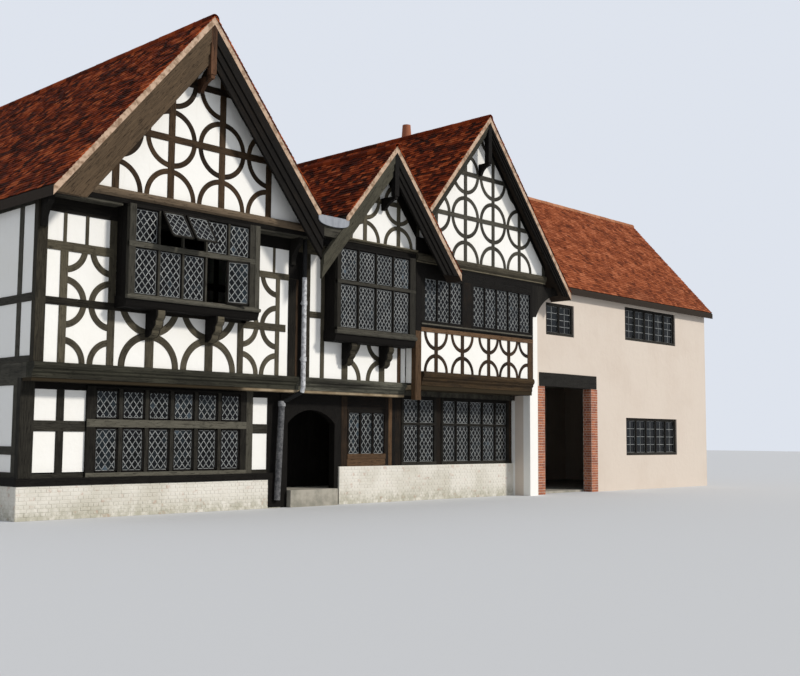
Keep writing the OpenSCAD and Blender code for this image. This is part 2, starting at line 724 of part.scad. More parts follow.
module gable_panels() {
    color(plaster) upright(gable_y + panel_recess, wall_t - 2 * panel_recess) {
        difference() { gable_left_outline(); gable_left_2d(); }
        difference() { gable_middle_outline(); gable_middle_2d(); }
        difference() { gable_right_outline(); gable_right_2d(); }
    }
}

// Pendant post at each apex, carried by a bracket from the gable wall
pendant_w = 140;
left_pendant_z = beam_top + 2 * left_row + 140;
middle_pendant_z = middle_beam_top + middle_row + 75;
right_pendant_z = right_beam_top + 2 * right_row + 340;
module pendant(cx, ridge, front, z) {
    span = gable_y - front - 20;
    r = span - 60;
    upright(front, pendant_w) polygon([[cx - pendant_w / 2, z], [cx + pendant_w / 2, z],
        [cx + pendant_w / 2, under_z(cx, ridge, cx + pendant_w / 2)], [cx, ridge - slope_v],
        [cx - pendant_w / 2, under_z(cx, ridge, cx - pendant_w / 2)]]);
    crosswise(cx - 45, 90) difference() {
        bar(front + 20, gable_y, z - 300, z);
        translate([front + 20, z - 80 - r]) circle(r);
    }
}
module apex_pendants() {
    color(oak) {
        pendant(left_cx, left_ridge_z, verge_y, left_pendant_z);
        pendant(middle_cx, middle_ridge_z, verge_y, middle_pendant_z);
        pendant(right_cx, right_ridge_z, right_verge_y, right_pendant_z);
    }
}

// Bargeboards: three stepped layers under each verge, cut level at the eaves
valley_cut_x = middle_x + 20;
left_foot_z = upper_top_z - 140;
middle_foot_z = upper_top_z - 440;
right_foot_z = upper_top_z - 180;
layer_t = 30;
module barge_2d(cx, ridge, x0, x1, d) {
    polygon([[x0, under_z(cx, ridge, x0)], [cx, ridge - slope_v], [x1, under_z(cx, ridge, x1)],
        [x1, under_z(cx, ridge, x1) - d], [cx, ridge - slope_v - d],
        [x0, under_z(cx, ridge, x0) - d]]);
}
module bargeboards(cx, ridge, x0, x1, front, d) {
    difference() {
        union() {
            upright(front, layer_t) barge_2d(cx, ridge, x0, x1, 0.4 * d);
            upright(front + layer_t, layer_t) barge_2d(cx, ridge, x0, x1, 0.7 * d);
            upright(front + 2 * layer_t, barge_t) barge_2d(cx, ridge, x0, x1, d);
        }
        block(cx - pendant_w / 2, cx + pendant_w / 2, front - 1, front + pendant_w, 0, ridge);
    }
}
module rear_bargeboards(cx, ridge, x0, x1, d) {
    upright(rear_y - barge_t - layer_t, barge_t) barge_2d(cx, ridge, x0, x1, d);
    upright(rear_y - layer_t, layer_t) barge_2d(cx, ridge, x0, x1, 0.45 * d);
}
module bargeboards_left() {
    color(oak) difference() {
        union() {
            bargeboards(left_cx, left_ridge_z, left_eave_x, valley_cut_x, verge_y, barge_v);
            rear_bargeboards(left_cx, left_ridge_z, left_eave_x, gutter_x, barge_v * 0.6);
        }
        block(left_eave_x, left_cx, verge_y, rear_y, 0, left_foot_z);
    }
}
module bargeboards_middle() {
    color(oak) difference() {
        union() {
            bargeboards(middle_cx, middle_ridge_z, valley_cut_x, middle_eave_x, verge_y,
                barge_v * 0.8);
            rear_bargeboards(middle_cx, middle_ridge_z, gutter_end_x, valley_x, barge_v * 0.6);
        }
        block(middle_cx, middle_eave_x, verge_y, rear_y, 0, middle_foot_z);
    }
}
module bargeboards_right() {
    color(oak) difference() {
        union() {
            bargeboards(right_cx, right_ridge_z, right_x, right_eave_x, right_verge_y, barge_v);
            rear_bargeboards(right_cx, right_ridge_z, valley_x, right_eave_x, barge_v * 0.6);
        }
        block(right_cx, right_eave_x, verge_y, rear_y, 0, right_foot_z);
        under_middle_slope();
    }
}

// Tiled slopes, plumb cut at the eaves and the ridge
module slope(cx, ridge, x0, x1, y0, y1) {
    upright(y0, y1 - y0) polygon([[x0, top_z(cx, ridge, x0)], [x1, top_z(cx, ridge, x1)],
        [x1, under_z(cx, ridge, x1)], [x0, under_z(cx, ridge, x0)]]);
}
// What the middle roof's right slope covers where it runs on in front of the right range
module under_middle_slope() {
    far_x = middle_eave_x + 300;
    upright(verge_y, gable_y - verge_y) polygon([[0, 0], [far_x, 0],
        [far_x, top_z(middle_cx, middle_ridge_z, far_x)], [middle_cx, middle_ridge_z],
        [0, middle_ridge_z]]);
}
module roof_left_outer() {
    color(tile) slope(left_cx, left_ridge_z, left_eave_x, left_cx, verge_y, rear_y);
}
module roof_left_inner() {
    color(tile) slope(left_cx, left_ridge_z, left_cx, gutter_x, verge_y, rear_y);
}
module roof_middle_left() {
    color(tile) slope(middle_cx, middle_ridge_z, gutter_end_x, middle_cx, verge_y, rear_y);
}
module roof_middle_right() {
    color(tile) {
        slope(middle_cx, middle_ridge_z, middle_cx, valley_x, verge_y, rear_y);
        slope(middle_cx, middle_ridge_z, valley_x, middle_eave_x, verge_y, gable_y);
    }
}
module roof_right_inner() {
    color(tile) difference() {
        slope(right_cx, right_ridge_z, valley_x, right_cx, right_verge_y, rear_y);
        under_middle_slope();
    }
}
module roof_right_outer() {
    color(tile) slope(right_cx, right_ridge_z, right_cx, right_eave_x, right_verge_y, rear_y);
}
// Lead gutter with a front lip that turns down over its board
gutter_t = 90;
gutter_drop = 60;
module valley_gutter() {
    z = gutter_z - gutter_drop;
    lip_t = 30;
    color(lead) {
        block(gutter_x, gutter_end_x, verge_y - lip_t, rear_y, z - gutter_t, z);
        block(gutter_x + 120, gutter_end_x + 40, verge_y - lip_t, verge_y, z - 230, z);
    }
}
// Rainwater pipe: down the first floor, back under the jetty, and down the corner post
pipe_d = 90;
socket_d = 118;
pipe_knee = [middle_x + 80, upper_y - 106, jetty_z - 90];
pipe_shoe = [gl_post[0] + 210, -plinth_out - 46, jetty_z - 330];
pipe_foot_z = 180;
module pipe_run(a, b) {
    v = b - a;
    translate(a) rotate([0, acos(v[2] / norm(v)), atan2(v[1], v[0])])
        cylinder(h = norm(v), d = pipe_d);
}
module downpipe() {
    clip_h = 40;
    color(lead) {
        translate(pipe_knee) cylinder(h = upper_top_z - pipe_knee[2], d = pipe_d);
        pipe_run(pipe_shoe, pipe_knee);
        translate([pipe_shoe[0], pipe_shoe[1], pipe_foot_z])
            cylinder(h = pipe_shoe[2] - pipe_foot_z, d = pipe_d);
        for (p = [pipe_knee, pipe_shoe]) translate(p) sphere(d = socket_d);
        for (z = [jetty_top + 1110, upper_top_z - 600])
            block(pipe_knee[0] - 30, pipe_knee[0] + 30, pipe_knee[1], upper_y + panel_recess,
                z, z + clip_h);
        block(pipe_shoe[0] - 30, pipe_shoe[0] + 30, pipe_shoe[1], 0,
            gl_rail_z - 290, gl_rail_z - 290 + clip_h);
    }
}

// Left side: the same framing, plinth and windows
side_bays = 6;
side_pitch = (depth - 2 * wall_t - stud_w) / side_bays;
side_window_bays = [1, 4];
side_low_z = [plinth_h + 600, jetty_z - 330];
side_high_z = [jetty_top + 1300, jetty_top + 2400];
plate_z = under_z(left_cx, left_ridge_z, 0) - 185;
function side_stud(i) = wall_t + stud_w / 2 + i * side_pitch;
function side_window(i, z) = [side_stud(i) + stud_w / 2, side_stud(i + 1) - stud_w / 2, z[0], z[1]];
module side_frame_2d() {
    for (i = [0 : side_bays]) {
        stud(side_stud(i), plinth_h, jetty_z);
        stud(side_stud(i), jetty_top, plate_z);
    }
    bar(wall_t, depth - wall_t, plinth_h, plinth_h + sill_h);
    bar(wall_t, depth - wall_t, jetty_z - head_h, jetty_z);
    bar(upper_y + wall_t, depth - wall_t, jetty_top, jetty_top + sill_h);
    rail(side_low_z[0] - 75, wall_t, depth - wall_t);
    rail(side_high_z[0] - 75, upper_y + wall_t, depth - wall_t);
}
module side_windows_2d() {
    for (i = side_window_bays, z = [side_low_z, side_high_z]) pane(side_window(i, z));
}
module side_frame_left() {
    color(oak) {
        crosswise(0, wall_t) {
            difference() { side_frame_2d(); side_windows_2d(); }
            for (i = side_window_bays, z = [side_low_z, side_high_z]) {
                w = side_window(i, z);
                light_grid(w[0], w[1], w[2], w[3], 2, [], 70);
            }
        }
        upright(upper_y + wall_t, depth - 2 * wall_t - upper_y) polygon([[0, plate_z],
            [wall_t, plate_z], [wall_t, under_z(left_cx, left_ridge_z, wall_t)],
            [0, under_z(left_cx, left_ridge_z, 0)]]);
    }
}
module side_wall_left() {
    color(plaster) crosswise(panel_recess, wall_t - 2 * panel_recess) difference() {
        union() {
            bar(wall_t, depth - wall_t, plinth_h, jetty_z);
            bar(upper_y + wall_t, depth - wall_t, jetty_top, plate_z);
        }
        side_frame_2d();
        side_windows_2d();
    }
}
// Right side: the wall behind the wing, the pier beside the front, and its closing leaf
module side_wall_right() {
    pier_w = 360;
    pier_out = 240;
    x0 = rear_end_x - wall_t;
    color(plaster) {
        upright(wing_rear_y, depth - wall_t - wing_rear_y) difference() {
            polygon([[x0, floor_z], [rear_end_x, floor_z],
                [rear_end_x, under_z(right_cx, right_ridge_z, rear_end_x)],
                [x0, under_z(right_cx, right_ridge_z, x0)]]);
            bar(x0, rear_end_x, jetty_z, jetty_top);
        }
        block(end_x, end_x + pier_w, wing_front_y - pier_out, wing_front_y, 0, right_beam_z);
        block(end_x, end_x + wall_t, wing_front_y + wing_t, wall_t, 0, jetty_z);
    }
}
// Rear wall under its three gables
rear_bays = 12;
rear_pitch = (rear_end_x - stud_w) / rear_bays;
rear_window_bays = [1, 3, 6, 8, 10];
rear_low_z = [floor_z + 1000, jetty_z - 260];
rear_high_z = side_high_z;
function rear_stud(i) = stud_w / 2 + i * rear_pitch;
function rear_window(i, z) = [rear_stud(i) + stud_w / 2, rear_stud(i + 1) - stud_w / 2, z[0], z[1]];
module rear_outline() {
    intersection() {
        bar(0, rear_end_x, floor_z, left_ridge_z + right_ridge_z);
        union() {
            under_slopes(left_cx, left_ridge_z, 0, gutter_x);
            bar(gutter_x, gutter_end_x, 0, gutter_z - 200);
            under_slopes(middle_cx, middle_ridge_z, gutter_end_x, valley_x);
            under_slopes(right_cx, right_ridge_z, valley_x, rear_end_x);
        }
    }
}
module rear_frame_2d() {
    for (i = [0 : rear_bays]) stud(rear_stud(i), floor_z, left_ridge_z);
    for (z = [floor_z + 75, jetty_z + 100, upper_top_z + 100]) rail(z, 0, rear_end_x, 200);
    rail(rear_low_z[0] - 75, 0, rear_end_x);
    rail(rear_high_z[0] - 75, 0, rear_end_x);
}
module rear_windows_2d() {
    for (i = rear_window_bays, z = [rear_low_z, rear_high_z]) pane(rear_window(i, z));
}
module rear_frame() {
    color(oak) upright(depth - wall_t, wall_t) intersection() {
        rear_outline();
        union() {
            difference() { rear_frame_2d(); rear_windows_2d(); }
            for (i = rear_window_bays, z = [rear_low_z, rear_high_z]) {
                w = rear_window(i, z);
                light_grid(w[0], w[1], w[2], w[3], 2, [], 70);
            }
        }
    }
}
module rear_panels() {
    color(plaster) upright(depth - wall_t + panel_recess, wall_t - 2 * panel_recess)
        difference() { rear_outline(); rear_frame_2d(); rear_windows_2d(); }
}

// Plastered wing with a plain tiled roof
wing_front_y = upper_y;
wing_rear_y = wing_front_y + wing_depth;
wing_cy = wing_front_y + wing_depth / 2;
wing_end_x = end_x + wing_w;
wing_eave = 210;
wing_eave_y = [wing_front_y - wing_eave, wing_rear_y + wing_eave];
wing_rise = tan(wing_pitch);
wing_slope_v = roof_t / cos(wing_pitch);
wing_ridge_z = upper_top_z - 89 + wing_rise * (wing_cy - wing_eave_y[0]);
wing_glass_y = wing_front_y + 130;
wing_win2_x = end_x + 1115;
wing_win2_w = 1435;
wing_win2_head = 560;
wing_win2_h = 960;
wing_win2 = [wing_win2_x, wing_win2_x + wing_win2_w,
    upper_top_z - wing_win2_head - wing_win2_h, upper_top_z - wing_win2_head];
wing_win5_x = end_x + 5425;
wing_win5_w = 3195;
wing_win5_head = 300;
wing_win5_h = 1085;
wing_win5 = [wing_win5_x, wing_win5_x + wing_win5_w,
    upper_top_z - wing_win5_head - wing_win5_h, upper_top_z - wing_win5_head];
wing_low_sill_z = 1100;
wing_low_h = 1200;
wing_win_low = [wing_win5_x, wing_win5_x + wing_win5_w, wing_low_sill_z, wing_low_sill_z + wing_low_h];
wing_lintel = [end_x + 754, end_x + 3726, 3149, 3546];
wing_door = [end_x + 1041, end_x + 3439, 0, wing_lintel[2]];
function wing_top(y) = wing_ridge_z - wing_rise * abs(y - wing_cy);
function wing_under(y) = wing_top(y) - wing_slope_v;
// A long wall of the wing, cut back under the right range's slope
module wing_wall_2d(x0, top) {
    polygon([[x0, 0], [wing_end_x, 0], [wing_end_x, top], [right_eave_x, top],
        [right_eave_x, under_z(right_cx, right_ridge_z, right_eave_x)],
        [x0, under_z(right_cx, right_ridge_z, x0)]]);
}
module wing_front_wall() {
    color(render) upright(wing_front_y, wing_t) difference() {
        wing_wall_2d(end_x, wing_under(wing_front_y));
        for (w = [wing_win2, wing_win5, wing_win_low, wing_door, wing_lintel]) pane(w);
    }
}
module wing_end_wall() {
    color(render) crosswise(wing_end_x - wing_t, wing_t) polygon([
        [wing_front_y + wing_t, 0], [wing_rear_y - wing_t, 0],
        [wing_rear_y - wing_t, wing_under(wing_rear_y - wing_t)],
        [wing_cy, wing_under(wing_cy)],
        [wing_front_y + wing_t, wing_under(wing_front_y + wing_t)]]);
}
module wing_rear_wall() {
    color(render) upright(wing_rear_y - wing_t, wing_t)
        wing_wall_2d(rear_end_x - wall_t, wing_under(wing_rear_y));
}
module wing_windows() {
    color(oak) {
        upright(wing_front_y + 40, 90) {
            light_grid(wing_win2[0], wing_win2[1], wing_win2[2], wing_win2[3], 2, []);
            light_grid(wing_win5[0], wing_win5[1], wing_win5[2], wing_win5[3], 5, []);
            light_grid(wing_win_low[0], wing_win_low[1], wing_win_low[2], wing_win_low[3], 5, []);
        }
        upright(wing_front_y - 20, wing_t) pane(wing_lintel);
    }
}
module wing_slope(y0, y1) {
    difference() {
        crosswise(right_cx, wing_end_x + 240 - right_cx) polygon([[y0, wing_top(y0)],
            [y1, wing_top(y1)], [y1, wing_under(y1)], [y0, wing_under(y0)]]);
        under_right_slope();
    }
}
// What the right range's outer slope covers, with all that lies left of its ridge
module under_right_slope() {
    upright(verge_y, rear_y - verge_y) polygon([[right_x, 0], [right_eave_x, 0],
        [right_eave_x, top_z(right_cx, right_ridge_z, right_eave_x)], [right_cx, right_ridge_z],
        [right_x, right_ridge_z]]);
}
module roof_wing_front() { color(tile_bright) wing_slope(wing_eave_y[0], wing_cy); }
module roof_wing_rear() { color(tile_bright) wing_slope(wing_cy, wing_eave_y[1]); }

// Brick stack behind the right range's ridge, with one clay pot
stack = [right_cx + 460, wing_cy - 225];
stack_w = 600;
stack_top = right_ridge_z + 110;
pot_h = 440;
module chimney() {
    color(brick) {
        difference() {
            block(stack[0] - stack_w / 2, stack[0] + stack_w / 2,
                stack[1] - stack_w / 2, stack[1] + stack_w / 2, stack_top - 1500, stack_top);
            under_right_slope();
            crosswise(right_cx, wing_w) polygon([[wing_eave_y[0], 0], [wing_eave_y[1], 0],
                [wing_eave_y[1], wing_top(wing_eave_y[1])], [wing_cy, wing_ridge_z],
                [wing_eave_y[0], wing_top(wing_eave_y[0])]]);
        }
        translate([stack[0], stack[1], stack_top]) difference() {
            cylinder(h = pot_h, d1 = 300, d2 = 240);
            translate([0, 0, 60]) cylinder(h = pot_h, d = 170);
        }
    }
}

plinth_front();
plinth_sides();
door_step();
ground_floor();
ground_frame_left();
ground_panels_left();
ground_window_left();
doorway_frame();
ground_frame_middle();
ground_window_middle();
ground_frame_right();
ground_window_right();
ground_glass();
jetty_beam_left();
jetty_beam_middle();
jetty_beam_right();
jetty_soffits();
first_floor();
upper_frame_left();
upper_frame_middle();
upper_frame_right();
upper_panels();
upper_window_right();
oriel_left();
oriel_middle();
oriel_brackets();
open_casements();
upper_glass();
gable_beams();
gable_soffits();
eaves_braces();
gable_frame_left();
gable_frame_middle();
gable_frame_right();
gable_panels();
apex_pendants();
bargeboards_left();
bargeboards_middle();
bargeboards_right();
roof_left_outer();
roof_left_inner();
roof_middle_left();
roof_middle_right();
roof_right_inner();
roof_right_outer();
valley_gutter();
downpipe();
side_frame_left();
side_wall_left();
side_wall_right();
rear_frame();
rear_panels();
wing_front_wall();
wing_end_wall();
wing_rear_wall();
wing_windows();
roof_wing_front();
roof_wing_rear();
chimney();
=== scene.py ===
import math
import random

import bmesh
import bpy
from mathutils import Matrix, Vector, noise


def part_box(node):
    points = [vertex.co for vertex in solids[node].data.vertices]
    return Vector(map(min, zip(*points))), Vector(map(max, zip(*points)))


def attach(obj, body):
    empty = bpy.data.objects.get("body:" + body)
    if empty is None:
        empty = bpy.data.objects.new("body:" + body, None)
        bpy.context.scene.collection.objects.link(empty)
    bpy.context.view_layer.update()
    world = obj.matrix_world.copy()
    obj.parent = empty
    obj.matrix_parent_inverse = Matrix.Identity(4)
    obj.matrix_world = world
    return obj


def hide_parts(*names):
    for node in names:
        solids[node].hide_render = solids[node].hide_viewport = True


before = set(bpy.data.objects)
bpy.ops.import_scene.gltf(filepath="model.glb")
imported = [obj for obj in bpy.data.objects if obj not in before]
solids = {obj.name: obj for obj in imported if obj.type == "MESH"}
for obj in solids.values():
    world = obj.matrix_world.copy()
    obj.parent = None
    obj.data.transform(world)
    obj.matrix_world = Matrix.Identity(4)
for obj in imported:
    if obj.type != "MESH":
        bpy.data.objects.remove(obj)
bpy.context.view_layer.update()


# The plinths. Low brick walls of English bond carry the timber frames, limewashed many
# times over, so the brick's arrises are soft and only its joints and a few worn red
# patches tell what lies under the white.
class Value:
    """One output inside a finish, which adds its nodes as it is summed like a number."""

    def __init__(self, finish, out):
        self.finish, self.out = finish, out

    def math(self, operation, *terms):
        return self.finish.add("Math", {"operation": operation}, dict(enumerate(terms)))

    def __add__(self, other):
        return self.math("ADD", self, other)

    def __sub__(self, other):
        return self.math("SUBTRACT", self, other)

    def __rsub__(self, other):
        return self.math("SUBTRACT", other, self)

    def __mul__(self, other):
        return self.math("MULTIPLY", self, other)

    def __abs__(self):
        return self.math("ABSOLUTE", self)

    def step(self, low, high):
        """Runs smoothly from 0 at low to 1 at high."""
        return self.finish.add("MapRange", {"interpolation_type": "SMOOTHSTEP"},
                               {0: self, 1: low, 2: high})

    __radd__ = __add__
    __rmul__ = __mul__


class Finish:
    """A procedural material whose nodes are written as expressions."""

    def __init__(self, name, rough=0.8, metallic=0.0, specular=0.3):
        self.material = bpy.data.materials.new(name)
        self.material.use_nodes = True
        self.tree = self.material.node_tree
        self.skin = self.tree.nodes["Principled BSDF"].inputs
        self.skin["Roughness"].default_value = rough
        self.skin["Metallic"].default_value = metallic
        self.skin["Specular IOR Level"].default_value = specular
        self.place = self.add("TexCoord", out="Object")

    def add(self, kind, settings=None, values=None, out=0):
        node = self.tree.nodes.new("ShaderNode" + kind)
        for key, setting in (settings or {}).items():
            if key == "stops":
                while len(node.color_ramp.elements) < len(setting):
                    node.color_ramp.elements.new(0.5)
                for element, (at, colour) in zip(node.color_ramp.elements, setting):
                    element.position, element.color = at, (*colour, 1)
            else:
                setattr(node, key, setting)
        for key, value in (values or {}).items():
            self.feed(node.inputs[key], value)
        return Value(self, node.outputs[out])

    def feed(self, socket, value):
        if isinstance(value, Value):
            self.tree.links.new(value.out, socket)
        elif socket.type == "RGBA":
            socket.default_value = (*value, 1)
        else:
            socket.default_value = value

    def stretch(self, where, x, y, z):
        return self.add("VectorMath", {"operation": "MULTIPLY"}, {0: where, 1: (x, y, z)})

    def split(self, where):
        node = self.tree.nodes.new("ShaderNodeSeparateXYZ")
        self.feed(node.inputs[0], where)
        return [Value(self, out) for out in node.outputs]

    def noise(self, scale, detail=4.0, roughness=0.55, where=None):
        return self.add("TexNoise", {}, {"Vector": where or self.place, "Scale": scale,
                                         "Detail": detail, "Roughness": roughness}, "Fac")

    def ramp(self, value, *stops):
        return self.add("ValToRGB", {"stops": stops}, {0: value})

    def mix(self, first, second, share):
        return self.add("Mix", {"data_type": "RGBA"}, {0: share, 6: first, 7: second}, 2)

    def tint(self):
        return self.add("Attribute", {"attribute_name": "tint"}, out="Fac")

    def wear(self, colour, height=None, depth=0.004, rough=None):
        self.feed(self.skin["Base Color"], colour)
        if rough is not None:
            self.feed(self.skin["Roughness"], rough)
        if height is not None:
            bump = self.add("Bump", {}, {"Height": height, "Distance": depth}, "Normal")
            self.feed(self.skin["Normal"], bump)
        return self.material


class Heap:
    """Closed bodies gathered into one piece, each with its own grain and tint."""

    def __init__(self, *tones):
        self.tones = tones or (0.35, 0.65)
        self.corners, self.faces, self.grain, self.tints = [], [], [], []

    def loft(self, rings, tint=0.5, grain=None):
        """A closed body through rings of corners."""
        n, start = len(rings[0]), len(self.corners)
        last = (len(rings) - 1) * n
        faces = [list(range(n)), list(range(last + n - 1, last - 1, -1))]
        for r in range(0, last, n):
            faces += [[r + i, r + n + i, r + n + (i + 1) % n, r + (i + 1) % n]
                      for i in range(n)]
        self.faces += [[start + i for i in face] for face in faces]
        self.corners += [p for ring in rings for p in ring]
        self.grain += [g for ring in grain or rings for g in ring]
        self.tints += [tint] * (last + n)

    def build(self, name, finish, slot, *replaced, bevel=0.0):
        mesh = bpy.data.meshes.new(name)
        mesh.from_pydata(self.corners, [], self.faces)
        grain = mesh.attributes.new("grain", "FLOAT_VECTOR", "POINT")
        grain.data.foreach_set("vector", [c for g in self.grain for c in g])
        mesh.attributes.new("tint", "FLOAT", "POINT").data.foreach_set("value", self.tints)
        shape = bmesh.new()
        shape.from_mesh(mesh)
        bmesh.ops.recalc_face_normals(shape, faces=shape.faces)
        shape.to_mesh(mesh)
        shape.free()
        mesh.materials.append(finish)
        piece = bpy.data.objects.new(name, mesh)
        bpy.context.scene.collection.objects.link(piece)
        if bevel:
            edge = piece.modifiers.new("worn_edges", "BEVEL")
            edge.width, edge.segments, edge.angle_limit = bevel, 1, math.radians(50)
        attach(piece, "root")
        if replaced:
            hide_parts(*replaced)
        return piece


def dress(finish, *names):
    """Gives CAD solids their finish."""
    for name in names:
        solids[name].data.materials.clear()
        solids[name].data.materials.append(finish)


class Wall:
    """A wall's face: u runs along it, v up it, and w inwards from it."""

    def __init__(self, place):
        self.place = place

    def ring(self, shape, w):
        return [self.place(*p, w) for p in shape]


def facing_front(y):
    return Wall(lambda u, v, w: (u, y + w, v))


def facing_left(x):
    return Wall(lambda u, v, w: (x + w, u, v))


def facing_right(x):
    return Wall(lambda u, v, w: (x - w, u, v))


def facing_rear(y):
    return Wall(lambda u, v, w: (u, y - w, v))


def oblong(u0, u1, v0, v1):
    return [(u0, v0), (u1, v0), (u1, v1), (u0, v1)]


BRICK, HEADER, COURSE, JOINT = 0.225, 0.1125, 0.075, 0.010
BRICK_PROUD, BRICK_IN, SLIVER = 0.006, 0.020, 0.020


def lay_bricks(heap, wall, u0, u1, v0, v1, seed):
    """The face of a brick wall in English bond, cut to a rectangle."""
    chance = random.Random(seed)
    for k in range(math.ceil((v1 - v0) / COURSE)):
        step = HEADER if k % 2 else BRICK
        low, high = v0 + k * COURSE, min(v0 + (k + 1) * COURSE, v1) - JOINT
        u = u0 - (HEADER / 2 if k % 2 else 0)
        while u < u1 and high - low > SLIVER:
            left, right = max(u, u0) + JOINT / 2, min(u + step, u1) - JOINT / 2
            if right - left > SLIVER:
                out = BRICK_PROUD + chance.uniform(-0.002, 0.002)
                heap.loft([wall.ring(oblong(left, right, low, high), w)
                           for w in (-out, BRICK_IN)], chance.random())
            u += step


def limewash_on_brick():
    lime = Finish("limewash_on_brick", rough=0.9, specular=0.2)
    broad = lime.noise(1.1, 5)
    patch = lime.noise(7.0, 6, 0.65)
    fine = lime.noise(60.0, 3)
    height = lime.split(lime.place)[2]
    white = lime.mix((0.74, 0.71, 0.64), (0.60, 0.57, 0.49), broad.step(0.4, 0.7))
    splash = (1.0 - height.step(0.0, 0.45)) * patch.step(0.3, 0.6)
    green = lime.mix(white, (0.30, 0.29, 0.20), splash * 0.6)
    worn = (patch * 0.7 + lime.tint() * 0.3).step(0.63, 0.72)
    red = lime.mix(green, (0.42, 0.17, 0.10), worn * 0.35)
    return lime.wear(red, patch * 0.6 + fine * 0.4, 0.006)


low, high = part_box("plinth_front")
left_low, left_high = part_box("ground_frame_left")
sides_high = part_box("plinth_sides")[1]
middle_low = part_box("ground_frame_middle")[0]
end_x, dwarf_h, plinth_h = high.x, high.z, left_low.z
SOLE_H = 0.140
sole_z = plinth_h - SOLE_H
rear_y, rear_end_x = sides_high.y, sides_high.x
floor_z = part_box("rear_frame")[0].z
wing_rear_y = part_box("wing_rear_wall")[1].y
limewash = limewash_on_brick()
dress(limewash, "plinth_front", "plinth_sides")
bricks = Heap()
for wall, u0, u1, top, seed in (
        (facing_front(low.y), low.x, left_high.x, sole_z, 11),
        (facing_front(low.y), middle_low.x, end_x, dwarf_h, 12),
        (facing_left(low.x), low.y, rear_y, sole_z, 13),
        (facing_rear(rear_y), low.x, rear_end_x, floor_z, 14),
        (facing_right(rear_end_x), wing_rear_y, rear_y, floor_z, 15)):
    lay_bricks(bricks, wall, u0, u1, 0.0, top, seed)
bricks.build("plinth_bricks", limewash, "limewashed_brick", bevel=0.003)


# The doorstep and floors. One worn block of pale stone stands in the doorway, and the
# ground floors behind it are laid with the same stone.
def pale_stone():
    stone = Finish("pale_stone", rough=0.85, specular=0.25)
    cloud = stone.noise(3.0, 6, 0.6)
    grit = stone.noise(90.0, 3)
    grey = stone.mix((0.40, 0.37, 0.31), (0.24, 0.23, 0.19), cloud.step(0.35, 0.7))
    return stone.wear(grey, cloud * 0.5 + grit * 0.5, 0.005, cloud * 0.3 + 0.65)


dress(pale_stone(), "door_step", "ground_floor")


# The ground storey's frame. Oak posts, rails and studs, tenoned and pegged, stand on the
# sole plates that cap the plinth. The oak was worked green and tarred long ago, and rain
# and sun have worn it grey or brown. A timber's tone sets its colour between near black
# and that grey or brown: middling tones vary at random, the lowest paint the shade under
# eaves, jetties and beams, and the highest paint sunlight on lit faces.
# The dark end of every oak's colour: near-black oak, and painted shade where a timber is given a
# low tone.
BLACK_OAK_AND_SHADE = (0.006, 0.005, 0.004)


def weathered_oak(name, light, along=None, painted_shade_from=None):
    """Oak whose grain follows each timber, or one axis where along is x, y or z, and which
    is painted near black, as shade, past the x given as its last argument."""
    oak = Finish(name, rough=0.88, specular=0.12)
    if along:
        order = {"x": (0, 1, 2), "y": (1, 0, 2), "z": (2, 0, 1)}[along]
        part = oak.split(oak.place)
        fibre = oak.add("CombineXYZ", {}, {i: part[order[i]] for i in range(3)})
        tone = oak.noise(2.0, 2, where=oak.stretch(fibre, 0.25, 2.0, 2.0))
    else:
        fibre = oak.add("Attribute", {"attribute_name": "grain"}, out="Vector")
        tone = oak.tint()
    streak = oak.noise(2.2, 6, 0.6, where=oak.stretch(fibre, 1.2, 22.0, 22.0))
    hair = oak.noise(2.0, 3, where=oak.stretch(fibre, 5.0, 120.0, 120.0))
    split = oak.noise(3.1, 2, 0.4, where=oak.stretch(fibre, 0.7, 16.0, 16.0))
    weather = oak.noise(1.3, 4)
    crack = 1.0 - abs(split - 0.5).step(0.0, 0.022)
    # A random tone varies the oak; a low tone given to a timber paints shade, a high one sunlight.
    shade = (streak * 0.4 + weather * 0.2 + tone * 0.9 - 0.25).step(0.1, 0.9)
    # Past that x the oak is painted near black as shade.
    if painted_shade_from is not None:
        shade = shade * (1.0 - part[0].step(painted_shade_from, painted_shade_from + 0.5))
    colour = oak.mix(oak.mix(BLACK_OAK_AND_SHADE, light, shade), (0.003, 0.002, 0.002), crack * 0.8)
    return oak.wear(colour, streak * 0.5 + hair * 0.25 - crack * 0.8, 0.006,
                    streak * 0.25 + 0.68)


BROWN, OLIVE = (0.185, 0.110, 0.055), (0.145, 0.126, 0.085)
GREY, RED = (0.110, 0.103, 0.080), (0.200, 0.115, 0.060)
brown_oak = weathered_oak("brown_oak", BROWN)
olive_oak = weathered_oak("olive_oak", OLIVE)
grey_oak = weathered_oak("grey_oak", GREY)
red_oak = weathered_oak("red_oak", RED)

CLOSE = 0.004
TIMBER_T, STUD_W = 0.150, 0.150
joiner = random.Random(3)


def plate(heap, wall, shape, w0, w1, along, tone=None):
    """A flat board or timber of any outline, its grain along the direction given."""
    across = (-along[1], along[0])
    seed = joiner.random() * 40
    grain = [(p[0] * along[0] + p[1] * along[1] + seed, p[0] * across[0] + p[1] * across[1],
              seed) for p in shape]
    tint = joiner.uniform(*heap.tones) if tone is None else tone
    heap.loft([wall.ring(shape, w) for w in (w0, w1)], tint,
              [[(a, b, c + w) for a, b, c in grain] for w in (w0, w1)])


